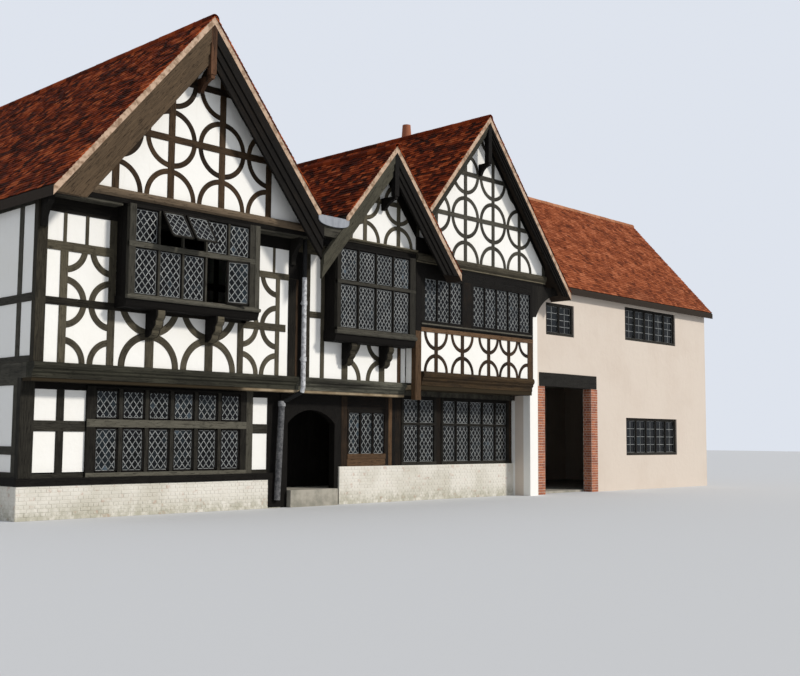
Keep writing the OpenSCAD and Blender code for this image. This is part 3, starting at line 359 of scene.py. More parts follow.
def timber(heap, wall, a, b, width, proud=0.0, thick=TIMBER_T, tone=None, sway=0.004):
    """A straight timber from a to b, a little wider than its gap and a little uneven."""
    start = Vector(a)
    along = Vector(b) - start
    length = along.length
    along.normalize()
    side = Vector((-along.y, along.x))
    seed = joiner.random() * 40
    cuts = max(1, round(length / 0.45))
    rings, grain = [], []
    for k in range(cuts + 1):
        t = length * k / cuts
        bend, fat = (sway * noise.noise(Vector((t, seed, n))) for n in (0, 9))
        mid = start + along * t + side * bend
        half = width / 2 + CLOSE + abs(fat)
        sides = [(tuple(mid - side * half), -half), (tuple(mid + side * half), half)]
        rings.append([wall.place(*sides[i][0], w) for i, w in
                      ((0, -proud), (1, -proud), (1, thick - proud), (0, thick - proud))])
        grain.append([(t + seed, sides[i][1] + seed, w) for i, w in
                      ((0, 0.0), (1, 0.0), (1, thick), (0, thick))])
    heap.loft(rings, joiner.uniform(*heap.tones) if tone is None else tone, grain)


def stud(heap, wall, u, v0, v1, width=STUD_W, proud=0.0, tone=None):
    timber(heap, wall, (u, v0), (u, v1), width, proud, tone=tone)


def rail(heap, wall, v, u0, u1, width=STUD_W, proud=0.003, tone=None):
    timber(heap, wall, (u0, v), (u1, v), width, proud, tone=tone)


def beam(heap, wall, u0, u1, v0, v1, proud=0.003, tone=None):
    """A timber that fills a rectangle, with its grain along the longer side."""
    mid_u, mid_v = (u0 + u1) / 2, (v0 + v1) / 2
    if u1 - u0 > v1 - v0:
        timber(heap, wall, (u0, mid_v), (u1, mid_v), v1 - v0, proud, tone=tone)
    else:
        timber(heap, wall, (mid_u, v0), (mid_u, v1), u1 - u0, proud, tone=tone)


def join_up(heap, wall, beams=(), rails=(), studs=()):
    """Makes a wall's timbers, each given by the values of its own function."""
    for make, rows in ((beam, beams), (rail, rails), (stud, studs)):
        for row in rows:
            make(heap, wall, *row)


ARC_STEP = math.radians(4.5)
EVEN = 0.010


def ring(heap, wall, u, v, outer, width, inside=lambda u, v: True, sunk=0.004):
    """A ring of four curved braces, kept where it lies inside its bay."""
    mid = outer - width / 2
    for quarter in range(4):
        run = []
        for k in range(21):
            turn = math.pi / 2 * quarter + ARC_STEP * k
            kept = inside(u + mid * math.cos(turn), v + mid * math.sin(turn))
            if kept:
                run.append(turn)
            if run and (not kept or k == 20):
                if len(run) > 1:
                    brace(heap, wall, (u, v), mid, width, run, sunk)
                run = []


def brace(heap, wall, centre, mid, width, turns, sunk):
    seed = joiner.random() * 40
    inner, outer = mid - width / 2 - CLOSE, mid + width / 2 + CLOSE
    rings, grain = [], []
    for turn in turns:
        c, s = math.cos(turn), math.sin(turn)
        rings.append([wall.place(centre[0] + r * c, centre[1] + r * s, w) for r, w in
                      ((inner, sunk), (outer, sunk), (outer, 0.1), (inner, 0.1))])
        grain.append([(turn * mid + seed, r + seed, w) for r, w in
                      ((inner, 0.0), (outer, 0.0), (outer, 0.1), (inner, 0.1))])
    heap.loft(rings, joiner.uniform(*heap.tones), grain)


def corner_braces(heap, wall, u0, u1, v0, v1, outer=0.500, width=0.118):
    """A quarter ring in each corner of a bay."""
    for u in (u0, u1):
        for v in (v0, v1):
            ring(heap, wall, u, v, outer, width,
                 lambda a, b: u0 - EVEN < a < u1 + EVEN and v0 - EVEN < b < v1 + EVEN)


left_w, post_w = 6.480, 0.280
jetty_z = left_high.z
right_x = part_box("jetty_beam_middle")[1].x
ground = facing_front(0.0)
inner_post = left_high.x - post_w
ground_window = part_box("ground_window_left")
glazed_to = ground_window[1].x - 0.284
sole_out = low.y - 0.020
corner_x = inner_post - 0.090
# The low tones of these timbers paint the shade under the jetty, near black on the sole plates,
# the corner post and the head over the window.
timbers = Heap(0.10, 0.40)
for wall, *sides in (
        (facing_front(sole_out), sole_out, left_high.x, sole_z, plinth_h, 0.003, 0.1),
        (facing_left(sole_out), sole_out + 0.01, rear_y, sole_z, plinth_h, 0.003, 0.1),
        (ground, glazed_to, glazed_to + 0.190, plinth_h, jetty_z, 0.020, 0.55),
        (ground, 0.0, post_w, plinth_h, jetty_z, 0.006),
        (ground, corner_x, left_high.x, plinth_h, jetty_z, 0.006, 0.03),
        (facing_front(sole_out), corner_x, left_high.x, 0.020, sole_z, 0.003, 0.03),
        (ground, post_w, inner_post, jetty_z - 0.190, jetty_z, 0.003, 0.05)):
    beam(timbers, wall, *sides)
for u0, u1 in ((post_w, ground_window[0].x), (ground_window[1].x, inner_post)):
    rail(timbers, ground, plinth_h + 1.0, u0 - 0.1, u1, 0.200, tone=0.35)
    beam(timbers, ground, u0 - 0.1, u1, plinth_h, plinth_h + 0.080, tone=0.35)
stud(timbers, ground, (post_w + ground_window[0].x) / 2, plinth_h, jetty_z)
timbers.build("ground_timbers_left", grey_oak, "oak", "ground_frame_left", bevel=0.005)

window_low, window_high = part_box("ground_window_middle")
lights_low = window_low.z + 0.175
reds = Heap(0.3, 0.5)
# The post left of the door and the head over the window are near black, painted shade; the post
# right of the window is three bands, dark, lit and near black, which paint sunlight and shade
# across it.
beam(reds, ground, middle_low.x, window_low.x - 0.190, dwarf_h, jetty_z, 0.004, 0.05)
beam(reds, ground, window_low.x - 0.190, window_low.x, dwarf_h, jetty_z, 0.010, 0.22)
band = (right_x + 0.075 - window_high.x) / 3
for i, tone in enumerate((0.15, 0.50, 0.02)):
    u = window_high.x + i * band
    beam(reds, ground, u, u + band, dwarf_h, jetty_z, 0.004 + 0.004 * (i % 2), tone)
beam(reds, ground, window_low.x, window_high.x, window_high.z, jetty_z, 0.002, 0.1)
reds.build("ground_timbers_middle", red_oak, "oak", "ground_frame_middle", bevel=0.005)

right_low, right_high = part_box("ground_window_right")
posts = Heap(0.15, 0.35)
POST_FROM, POST_TO = right_x + 1.645, right_x + 1.845
for u0, u1 in ((right_x + 0.075, right_low.x), (right_high.x, end_x), (POST_FROM, POST_TO)):
    beam(posts, ground, u0, u1, dwarf_h, jetty_z, 0.004)
posts.build("ground_timbers_right", red_oak, "oak", "ground_frame_right", bevel=0.005)


# The doorway. Two broad posts and a head carved to a four-centred arch, of oak painted near
# black as the shade under the jetty. It stands open, with a screen of boards behind it
# painted near black as the shade of the hall.
door_low, door_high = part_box("doorway_frame")
dress(weathered_oak("doorway_oak", (0.007, 0.006, 0.005), "z"), "doorway_frame")
SCREEN_Y, SCREEN_PAST, BOARD_W = 1.200, 0.500, 0.230
# The boards' near-black tones paint the shade of the unlit hall.
screen = Heap(0.0, 0.2)
for i in range(math.ceil((door_high.x - door_low.x + 1.6) / BOARD_W)):
    u = door_low.x - SCREEN_PAST + i * BOARD_W
    timber(screen, facing_front(SCREEN_Y), (u, floor_z), (u, jetty_z - 0.02), BOARD_W - 0.012,
           thick=0.035)
screen.build("hall_shade_screen", grey_oak, "boards", bevel=0.003)


# The plaster. Lath and lime plaster fills the frames between their timbers, a finger's
# breadth behind their faces, trowelled by hand and limewashed a warm white.
def limed_plaster(name, white, stain, soil):
    plaster = Finish(name, rough=0.92, specular=0.15)
    broad = plaster.noise(0.7, 4)
    trowel = plaster.noise(5.0, 5, 0.6)
    fine = plaster.noise(70.0, 2)
    rain = plaster.noise(1.0, 5, 0.6, where=plaster.stretch(plaster.place, 9.0, 9.0, 0.7))
    colour = plaster.mix(white, stain, broad.step(0.42, 0.72) * 0.4)
    colour = plaster.mix(colour, soil, rain.step(0.56, 0.80) * 0.15)
    return plaster.wear(colour, trowel * 0.8 + fine * 0.2, 0.012)


white_plaster = limed_plaster("limed_plaster", (0.90, 0.89, 0.85), (0.84, 0.82, 0.74),
                              (0.55, 0.50, 0.40))
dress(white_plaster, "ground_panels_left", "upper_panels", "gable_panels", "side_wall_left",
      "side_wall_right", "rear_panels")


# The windows. Oak frames hold mullions and transoms; each light is a net of soldered lead
# strips with small panes of old glass, none quite in line with the next.
def old_glass():
    glass = Finish("old_glass", rough=0.10, specular=0.12)
    ripple = glass.noise(9.0, 3)
    # The panes' colour is painted light: near black for the dark rooms behind them, and bluish
    # grey in some for the sky's reflection. Each pane's tint, from its light's mood and a random
    # spread, picks its place on this ramp.
    colour = glass.ramp(glass.tint() * 0.85 + ripple * 0.15, (0.0, (0.003, 0.003, 0.003)),
                        (0.5, (0.006, 0.007, 0.008)), (0.8, (0.018, 0.025, 0.030)),
                        (1.0, (0.08, 0.11, 0.14)))
    glass.skin["Alpha"].default_value = 0.95
    return glass.wear(colour, ripple, 0.004)


def old_lead(name, dark, light):
    lead = Finish(name, rough=0.6, metallic=0.2)
    bloom = lead.noise(4.0, 6, 0.65)
    run = lead.noise(1.0, 4, where=lead.stretch(lead.place, 14.0, 14.0, 1.0))
    colour = lead.mix(dark, light, (bloom * 0.6 + run * 0.4).step(0.35, 0.65))
    return lead.wear(colour, bloom, 0.002, bloom * 0.3 + 0.4)


def cut(shape, low, high, axis):
    """The part of a flat shape between two limits on one axis."""
    for limit, sign in ((low, 1), (high, -1)):
        kept = []
        for a, b in zip(shape, shape[1:] + shape[:1]):
            near, far = sign * (a[axis] - limit), sign * (b[axis] - limit)
            if near >= 0:
                kept.append(a)
            if near * far < 0:
                t = near / (near - far)
                kept.append(tuple(p + t * (q - p) for p, q in zip(a, b)))
        shape = kept
    return shape


def clip_line(a, b, u0, u1, v0, v1):
    """The part of a slanting line inside a rectangle, or None."""
    start, end = 0.0, 1.0
    for i, low, high in ((0, u0, u1), (1, v0, v1)):
        t0, t1 = sorted(((low - a[i]) / (b[i] - a[i]), (high - a[i]) / (b[i] - a[i])))
        start, end = max(start, t0), min(end, t1)
    if end - start < 1e-3:
        return None
    return [tuple(p + t * (q - p) for p, q in zip(a, b)) for t in (start, end)]


CAME_W, EDGE_CAME_W, CAME_T, GLASS_T = 0.014, 0.024, 0.010, 0.004
panes, cames = Heap(), Heap()
glazier = random.Random(5)


def came(wall, a, b, w, width=CAME_W):
    """A lead strip from a to b over the glass."""
    side = Vector((a[1] - b[1], b[0] - a[0])).normalized() * width / 2
    shape = [tuple(Vector(p) + s * side) for p, s in ((a, -1), (b, -1), (b, 1), (a, 1))]
    cames.loft([wall.ring(shape, d) for d in (w - CAME_T / 2, w + CAME_T / 2)],
               glazier.random())


def pane(wall, shape, w, mood):
    """One pane, set a little out of true."""
    if len(shape) < 3:
        return
    mid = [sum(c) / len(shape) for c in zip(*shape)]
    if max(math.dist(p, mid) for p in shape) < 0.02:
        return
    lean = [glazier.uniform(-0.015, 0.015) for _ in range(2)]
    depth = [w + (p[0] - mid[0]) * lean[0] + (p[1] - mid[1]) * lean[1] for p in shape]
    tone = min(1.0, max(0.0, mood + glazier.gauss(0.0, 0.17)))
    panes.loft([[wall.place(*p, d + back) for p, d in zip(shape, depth)]
                for back in (0.0, GLASS_T)], tone)


def leads_round(wall, u0, u1, v0, v1, w):
    corners = oblong(u0, u1, v0, v1)
    for a, b in zip(corners, corners[1:] + corners[:1]):
        came(wall, a, b, w, EDGE_CAME_W)


def diamonds(wall, u0, u1, v0, v1, w, wide=0.150, tall=0.195):
    """Fills one light with diamond panes and their leads."""
    uc, vc = (u0 + u1) / 2, (v0 + v1) / 2
    a, b = wide / 2, tall / 2
    mood = glazier.choice((0.25, 0.35, 0.35, 0.45, 0.62))
    across, rise = math.ceil((u1 - u0) / 2 / a) + 1, math.ceil((v1 - v0) / 2 / b) + 1
    for i in range(-across, across + 1):
        for j in range(-rise, rise + 1):
            if (i + j) % 2 == 0:
                cu, cv = uc + i * a, vc + j * b
                shape = [(cu - a, cv), (cu, cv - b), (cu + a, cv), (cu, cv + b)]
                pane(wall, cut(cut(shape, u0, u1, 0), v0, v1, 1), w, mood)
    far = across + rise + 2
    for k in range(-far, far + 1):
        for slant in (1, -1):
            mid = uc + a * (2 * k + 1)
            line = clip_line((mid - far * a, vc - slant * far * b),
                             (mid + far * a, vc + slant * far * b), u0, u1, v0, v1)
            if line:
                came(wall, *line, w)
    leads_round(wall, u0, u1, v0, v1, w)


def oblongs(wall, u0, u1, v0, v1, w, cols=2, rows=4):
    """Fills one light with upright rectangular panes and their leads."""
    mood = glazier.choice((0.25, 0.35, 0.45))
    us = [u0 + (u1 - u0) * i / cols for i in range(cols + 1)]
    vs = [v0 + (v1 - v0) * j / rows for j in range(rows + 1)]
    for a, b in zip(us, us[1:]):
        for c, d in zip(vs, vs[1:]):
            pane(wall, oblong(a, b, c, d), w, mood)
    for u in us[1:-1]:
        came(wall, (u, v0), (u, v1), w)
    for v in vs[1:-1]:
        came(wall, (u0, v), (u1, v), w)
    leads_round(wall, u0, u1, v0, v1, w)


def stiles(heap, wall, u0, u1, v0, v1, wide, *how):
    """The four timbers round one casement."""
    half = wide / 2
    for a, b in (((u0, v0 + half), (u1, v0 + half)), ((u0, v1 - half), (u1, v1 - half)),
                 ((u0 + half, v0), (u0 + half, v1)), ((u1 - half, v0), (u1 - half, v1))):
        timber(heap, wall, a, b, wide - 2 * CLOSE, *how)


GLASS_IN, SASH_IN, SASH_T, SASH_TONE = 0.050, 0.025, 0.045, 0.05
ALL_ROUND, BARS = (0.090, 0.090, 0.090, 0.090), (0.070, 0.070)
TONES = 0.45, 0.30, 0.60, 0.75, 0.30


def lights(u0, u1, v0, v1, cols, transoms, edges, bars):
    """The openings of a window frame, column by column. Its edges are named left, right,
    foot and head, and its bars are mullions and transoms."""
    left, right, foot, head = edges
    pitch = (u1 - u0 - left - right + bars[0]) / cols
    levels = [v0 + foot - bars[1] / 2, *transoms, v1 - head + bars[1] / 2]
    return [(u0 + left + i * pitch, u0 + left + (i + 1) * pitch - bars[0],
             low + bars[1] / 2, high - bars[1] / 2)
            for i in range(cols) for low, high in zip(levels, levels[1:])]


def window(heap, wall, u0, u1, v0, v1, cols, transoms=(), edges=ALL_ROUND, bars=BARS,
           thick=TIMBER_T, fill=diamonds, without=(), sash=0.0, tones=TONES):
    """A glazed oak frame, with tones for its posts, mullions, transoms, foot and head.
    Lights numbered in without stand open, and a sash width gives each of the others a
    casement of its own."""
    left, right, foot, head = edges
    for u, wide in ((u0 + left / 2, left), (u1 - right / 2, right)):
        timber(heap, wall, (u, v0), (u, v1), wide - 2 * CLOSE, 0.003, thick, tones[0], 0.0)
    for v, tall, out, tone in ((v0 + foot / 2, foot, 0.012, tones[3]),
                               (v1 - head / 2, head, 0.0, tones[4])):
        timber(heap, wall, (u0, v), (u1, v), tall - 2 * CLOSE, out, thick, tone, 0.0)
    for v in transoms:
        timber(heap, wall, (u0, v), (u1, v), bars[1] - 2 * CLOSE, 0.008, thick - 0.02, tones[2],
               0.0)
    found = lights(u0, u1, v0, v1, cols, transoms, edges, bars)
    for light in found[len(transoms) + 1::len(transoms) + 1]:
        u = light[0] - bars[0] / 2
        timber(heap, wall, (u, v0), (u, v1), bars[0] - 2 * CLOSE, -0.004, thick - 0.03, tones[1],
               0.0)
    for number, (a, b, c, d) in enumerate(found):
        if number in without:
            continue
        if sash:
            stiles(heap, wall, a, b, c, d, sash, -SASH_IN, SASH_T, SASH_TONE, 0.0)
        fill(wall, a + sash, b - sash, c + sash, d - sash, GLASS_IN)
    return found


PROUD_LEFT, PROUD, TRANSOM_UP = 0.040, 0.020, 1.065
# Low head tones on these windows paint the shade under the jetty; the high tones of the left
# window's transom and foot paint sunlight on them.
DARKER = 0.20, 0.12, 0.20, 0.30, 0.08
frames = Heap()
window(frames, facing_front(-PROUD_LEFT), ground_window[0].x, glazed_to, plinth_h - 0.006,
       ground_window[1].z + 0.040, 6, (plinth_h + 1.0675,), (0.200, 0.168, 0.092, 0.050),
       (0.090, 0.159), sash=0.040, tones=(0.2, 0.3, 0.9, 0.9, 0.1))
for u0, u1, cols in ((right_low.x, POST_FROM, 2), (POST_TO, right_high.x, 5)):
    window(frames, facing_front(-PROUD), u0, u1, dwarf_h, jetty_z, cols,
           (dwarf_h + TRANSOM_UP,), tones=DARKER)
frames.build("ground_windows", grey_oak, "oak", "ground_window_left", "ground_window_right",
             bevel=0.006)
red_frames = Heap()
window(red_frames, facing_front(-PROUD), window_low.x, window_high.x, lights_low,
       window_high.z, 3, edges=(0.050, 0.040, 0.130, 0.090), bars=(0.050, 0.050),
       tones=(0.15, 0.08, 0.5, 0.45, 0.02))
beam(red_frames, ground, window_low.x, window_high.x, dwarf_h, lights_low, 0.022, 0.5)
red_frames.build("ground_window_of_three", red_oak, "oak", "ground_window_middle", bevel=0.006)


# The jetties. The floor joists run out over the ground storey's wall and carry a moulded
# beam, on which the first floor's frame stands; below them a plastered soffit.
dress(weathered_oak("dark_beam", (0.062, 0.060, 0.042), "x"), "jetty_beam_left")
dress(weathered_oak("green_beam", (0.150, 0.146, 0.112), "x"), "jetty_beam_middle")
dress(weathered_oak("red_beam", (0.075, 0.045, 0.019), "x"), "jetty_beam_right")
dress(weathered_oak("floor_boards", GREY, "y"), "first_floor")


def soffit_plaster_and_shade():
    """Limed by the doorway, and painted near black over the windows on both sides of it,
    as the shade deep under the jetty.
    """
    soffit = Finish("soffit_plaster", rough=0.92, specular=0.1)
    cloud = soffit.noise(2.5, 5, 0.6)
    limed = soffit.mix((0.34, 0.27, 0.18), (0.20, 0.15, 0.09), cloud.step(0.35, 0.65))
    across = soffit.split(soffit.place)[0] + cloud * 0.8
    near_door = across.step(5.2, 5.6) * (1.0 - across.step(right_x + 0.4, right_x + 0.6))
    return soffit.wear(soffit.mix((0.030, 0.022, 0.012), limed, near_door), cloud, 0.008)


dress(soffit_plaster_and_shade(), "jetty_soffits")


# The first floor's frames. Heavy posts and rails divide the walls into bays, and curved
# braces in the corners of each bay make the rings and half rings of the house's fronts.
upper_y = -0.430
jetty_top, upper_top = 2.990, 6.200
upper = facing_front(upper_y)
LEFT_SILL, LEFT_RAIL, TOP_RAIL = jetty_top + 1.170, upper_top - 0.970, upper_top - 0.316
BAY_STUD = 0.570
bay_low, bay_high = 1.620, left_w - 1.505
half_rings = bay_low + 0.900, bay_high - 0.975
right_bay = bay_high - 0.135, left_w - 0.600
RIGHT_BAY_Z = jetty_top + 1.080
RED_W = 0.070
frame_left = Heap(0.4, 0.6)
# Tones near zero paint the shade under the gable: on the top rail, the upper part of the
# right-hand post and the timber behind the rainwater pipe.
join_up(frame_left, upper, beams=(
    (0.0, 0.200, jetty_top, upper_top - 0.070, 0.006, 0.3),
    (left_w - post_w, left_w - RED_W, jetty_top, LEFT_RAIL, 0.006, 0.15),
    (left_w - post_w, left_w, LEFT_RAIL, upper_top, 0.006, 0.0),
    (left_w, left_w + 0.160, jetty_top, upper_top, 0.0, 0.02),
    (0.10, bay_high, TOP_RAIL, upper_top, 0.003, 0.15),
    (bay_high, left_w, TOP_RAIL, upper_top, 0.003, 0.0)), rails=(
    (LEFT_RAIL, 0.0, bay_low, 0.170),
    (LEFT_SILL, 0.0, bay_high, 0.140, 0.003, 0.2),
    (LEFT_RAIL + 0.020, bay_high, left_w, 0.135),
    (RIGHT_BAY_Z, right_bay[0], left_w - 0.360, 0.155)), studs=(
    *((u, LEFT_RAIL, TOP_RAIL, 0.060) for u in (BAY_STUD, BAY_STUD + 0.470, left_w - 0.720)),
    (BAY_STUD, jetty_top, LEFT_RAIL),
    (bay_low, jetty_top, upper_top),
    (bay_high, LEFT_SILL, upper_top, 0.150, 0.0, 0.1),
    *((u, jetty_top, LEFT_SILL, 0.190, 0.001) for u in half_rings),
    (right_bay[0], jetty_top, LEFT_SILL),
    (right_bay[1], jetty_top, LEFT_RAIL, 0.110)))
for us, v0, v1 in (((BAY_STUD, bay_low), LEFT_SILL, LEFT_RAIL),
                   ((BAY_STUD, bay_low), jetty_top, LEFT_SILL),
                   (right_bay, jetty_top, RIGHT_BAY_Z),
                   (right_bay, RIGHT_BAY_Z, LEFT_RAIL + 0.020)):
    corner_braces(frame_left, upper, *us, v0, v1)


def under_the_bay(u, v):
    return bay_low + 0.180 < u < right_bay[0] - 0.100 and jetty_top - EVEN < v < LEFT_SILL


for u in half_rings:
    ring(frame_left, upper, u, jetty_top, 0.710, 0.140, under_the_bay)
    ring(frame_left, upper, u, LEFT_SILL + 0.195, 0.735, 0.140, under_the_bay, 0.008)
frame_left.build("upper_timbers_left", olive_oak, "oak", "upper_frame_left", bevel=0.005)

MIDDLE_SILL = jetty_top + 1.010
bay2_low, bay2_high = left_w + 0.820, right_x - 0.115
middle_studs = bay2_low + 0.690, bay2_high - 0.735
frame_middle = Heap(0.4, 0.6)
join_up(frame_middle, upper, beams=(
    (left_w + 0.260, left_w + 0.370, jetty_top, upper_top, 0.002, 0.3),
    (left_w, right_x, TOP_RAIL, upper_top)), rails=(
    (MIDDLE_SILL + 0.460, left_w + 0.370, bay2_low, 0.140),), studs=(
    (bay2_low - 0.040, jetty_top, upper_top, 0.110),
    *((u, jetty_top, MIDDLE_SILL, 0.180) for u in middle_studs)))
rail(frame_middle, upper, MIDDLE_SILL, bay2_low - 0.040, right_x, 0.140)
corner_braces(frame_middle, upper, *middle_studs, jetty_top, MIDDLE_SILL, 0.540)
frame_middle.build("upper_timbers_middle", olive_oak, "oak", "upper_frame_middle", bevel=0.005)

red_posts = Heap(0.25, 0.40)
join_up(red_posts, upper, beams=(
    (left_w - RED_W, left_w, jetty_top, LEFT_RAIL, 0.008),
    (left_w + 0.160, left_w + 0.260, jetty_top, upper_top, 0.008)), studs=(
    (right_x - 0.235, jetty_top, MIDDLE_SILL, 0.115),))
red_posts.build("upper_red_posts", red_oak, "oak", bevel=0.005)

gable_y = upper_y - 0.350
gable = facing_front(gable_y)
BAND_BASE, RIGHT_BEAM = jetty_top + 0.305, upper_top - 0.210
BAND_TOP, RAIL_TOP, row_low, row_high = (BAND_BASE + h for h in (1.015, 1.115, 1.155, 2.445))
CORNER_W = 0.200
three = right_x + CORNER_W, right_x + 1.870
five = right_x + 2.190, end_x - 0.080
BAND_GAPS = 0.782, 1.042, 1.099, 0.878, 0.865
band_us = [right_x + sum(BAND_GAPS[:i + 1]) for i in range(len(BAND_GAPS))]
frame_right = Heap(0.2, 0.35)
# Tones near zero paint the shade under the gable's beam and overhang: on the corner posts above
# the band, the rail under the window rows, the head over them and the post between them.
join_up(frame_right, gable, beams=(
    (right_x, right_x + CORNER_W, jetty_z - 0.130, BAND_TOP, 0.006, 0.45),
    (right_x, right_x + CORNER_W, BAND_TOP, RIGHT_BEAM, 0.006, 0.0),
    (end_x - 0.235, end_x, BAND_BASE, BAND_TOP, 0.004, 0.4),
    (five[1], end_x, BAND_TOP, RIGHT_BEAM, 0.004, 0.05),
    (right_x + CORNER_W, end_x, BAND_TOP, RAIL_TOP, 0.010, 0.6),
    (right_x, end_x, RAIL_TOP, row_low, -0.010, 0.02),
    (right_x, end_x, row_high, RIGHT_BEAM, 0.003, 0.0),
    (three[1], five[0], row_low, row_high, 0.004, 0.12)), studs=(
    (u, BAND_BASE, BAND_TOP, 0.120, 0.0, 0.3) for u in band_us[:4]))
for i, u in enumerate(band_us):
    radius = min(0.460, *(gap / 2 - 0.005 for gap in BAND_GAPS[max(i, 1):i + 2]))
    for v in (BAND_BASE, BAND_TOP):
        ring(frame_right, gable, u, v, radius, 0.090,
             lambda a, b: right_x + CORNER_W < a < end_x
             and BAND_BASE - EVEN < b < BAND_TOP + EVEN)
frame_right.build("upper_timbers_right", red_oak, "oak", "upper_frame_right", bevel=0.005)

rows = Heap()
# The window rows' frames have near-black tones, which paint the shade under the gable's beam.
PAINTED_SHADE_FRAME = 0.10, 0.10, 0.10, 0.03, 0.02
for sides, count, left, right in ((three, 3, 0.150, 0.067), (five, 5, 0.090, 0.045)):
    window(rows, gable, *sides, row_low, row_high, count, (), (left, right, 0.150, 0.060),
           (0.050, 0.050), tones=PAINTED_SHADE_FRAME)
# A thin pale rail along the foot of the rows, a painted highlight on the sill.
rail(rows, gable, row_low + 0.055, three[0], five[1], 0.030, 0.030, 0.9)
rows.build("upper_window_rows", grey_oak, "oak", "upper_window_right", bevel=0.006)

SKIM, SKIM_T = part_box("upper_panels")[0].y - gable_y - 0.004, 0.060
backing = Heap()
for wall, *sides in (
        (ground, glazed_to + 0.1, inner_post - 0.05, plinth_h + 0.05, jetty_z - 0.15),
        (upper, bay_high - 0.1, left_w - 0.1, jetty_top, TOP_RAIL + 0.05),
        (upper, middle_studs[1], right_x, jetty_top, MIDDLE_SILL),
        (gable, right_x + 0.1, end_x - 0.1, BAND_BASE, BAND_TOP + 0.05)):
    plate(backing, wall, oblong(*sides), SKIM, SKIM + SKIM_T, (1, 0))
backing.build("plaster_backing", white_plaster, "plaster")


# The hanging bay windows. Each is a box of oak pegged to the first floor's wall, with a
# moulded sill below, boarded ends, and two carved brackets under it. One lower casement
# and two top-hung vents of the left bay stand open.
def moulding(heap, x0, x1, profile, tone=None):
    """A moulded timber along the front, from its outline of y and z."""
    seed = joiner.random() * 40
    heap.loft([[(x, *p) for p in profile] for x in (x0, x1)],
              joiner.uniform(*heap.tones) if tone is None else tone,
              [[(x + seed, *p) for p in profile] for x in (x0, x1)])


BAY_EDGE, END_T, SASH = 0.110, 0.090, 0.022
STILE, LEAF_T = 0.045, 0.035
bay_y = gable_y - 0.100
board_y = upper_y - 0.170
bay_wall = facing_front(bay_y)


def bay(heap, u0, u1, v0, v1, cols, transom, edges, bars, size, tones, nosing, foot, without=()):
    """A hanging bay window over its sill, and the openings of its lights."""
    found = window(heap, bay_wall, u0, u1, v0, v1, cols, (transom,), edges, bars, BAY_EDGE,
                   lambda *light: diamonds(*light, *size), without, SASH, tones)
    # The boarded ends are painted near black as shade.
    for end in (facing_left(u0), facing_right(u1)):
        for y0, y1 in ((bay_y + BAY_EDGE, board_y), (board_y, upper_y)):
            plate(heap, end, oblong(y0 + 0.002, y1 - 0.002, v0, v1), 0.0, END_T, (0, 1), 0.05)
    # The sill's nosing takes the foot's tone, which paints sunlight on it; the body under it is
    # painted near black as the shade under the nosing.
    moulding(heap, u0 - 0.035, u1 + 0.025, [
        (bay_y + 0.040, v0), (bay_y + 0.040, v0 - nosing), (bay_y - 0.025, v0 - nosing),
        (bay_y - 0.045, v0 - nosing + 0.025), (bay_y - 0.050, v0 - 0.030),
        (bay_y - 0.030, v0)], tones[3])
    moulding(heap, u0 - 0.020, u1 + 0.020, [
        (upper_y, v0), (upper_y, foot), (bay_y + 0.080, foot), (bay_y + 0.050, foot + 0.040),
        (bay_y + 0.020, v0 - nosing - 0.040), (bay_y + 0.010, v0 - nosing),
        (bay_y + 0.040, v0)], 0.02)
    return found


def casement(heap, hinge, turn, axis, v0, v1, wide):
    """An opened casement with its leads, turned about its hinge."""
    at = Matrix.Translation(hinge) @ Matrix.Rotation(math.radians(turn), 4, axis)
    leaf = Wall(lambda u, v, w: tuple(at @ Vector((u, w, v))))
    stiles(heap, leaf, 0.0, wide, v0, v1, STILE, LEAF_T, LEAF_T, None, 0.0)
    diamonds(leaf, STILE, wide - STILE, v0 + STILE, v1 - STILE, -0.018)


VENTS, SIDE = (3, 5), 6
BAY_BARS = 0.045, 0.110
left_foot_z, middle_foot_z = jetty_top + 1.150, jetty_top + 0.865
left_bay, middle_bay = Heap(), Heap()
# In both bays the head's tone near zero paints the shade under the gable beam, and the foot's high
# tone the sunlit nosing of the sill.
openings = bay(left_bay, bay_low + 0.075, bay_high, jetty_top + 1.390, upper_top, 5,
               jetty_top + 2.406, (0.150, 0.276, 0.020, 0.068), BAY_BARS, (0.147, 0.187),
               (0.45, 0.50, 0.70, 0.95, 0.02), 0.080, left_foot_z, (*VENTS, SIDE))
timber(left_bay, bay_wall, (bay_high - 0.070, jetty_top + 1.390), (bay_high - 0.070, upper_top),
       0.120, 0.015, tone=0.65)
bay(middle_bay, bay2_low, bay2_high, jetty_top + 1.125, upper_top - 0.090, 4,
    jetty_top + 2.270, (0.118, 0.210, 0.060, 0.040), (0.035, 0.080), (0.122, 0.170),
    (0.30, 0.25, 0.45, 0.60, 0.02), 0.090, middle_foot_z)
casements = Heap(0.1, 0.3)
LEAF_W = openings[0][1] - openings[0][0] - 0.006
for number in VENTS:
    u0, u1, v0, v1 = openings[number]
    casement(casements, (u0 + 0.003, bay_y, v1), -35, "X", v0 - v1, 0.0, LEAF_W)
u0, u1, v0, v1 = openings[SIDE]
casement(casements, (u1 - 0.040, bay_y, v0), -14, "Z", 0.0, v1 - v0, LEAF_W)
bay_oak = weathered_oak("bay_oak", (0.100, 0.094, 0.074))
left_bay.build("left_bay", bay_oak, "oak", "oriel_left", bevel=0.005)
middle_bay.build("middle_bay", bay_oak, "oak", "oriel_middle", bevel=0.005)
casements.build("opened_casements", bay_oak, "oak", "open_casements", bevel=0.003)


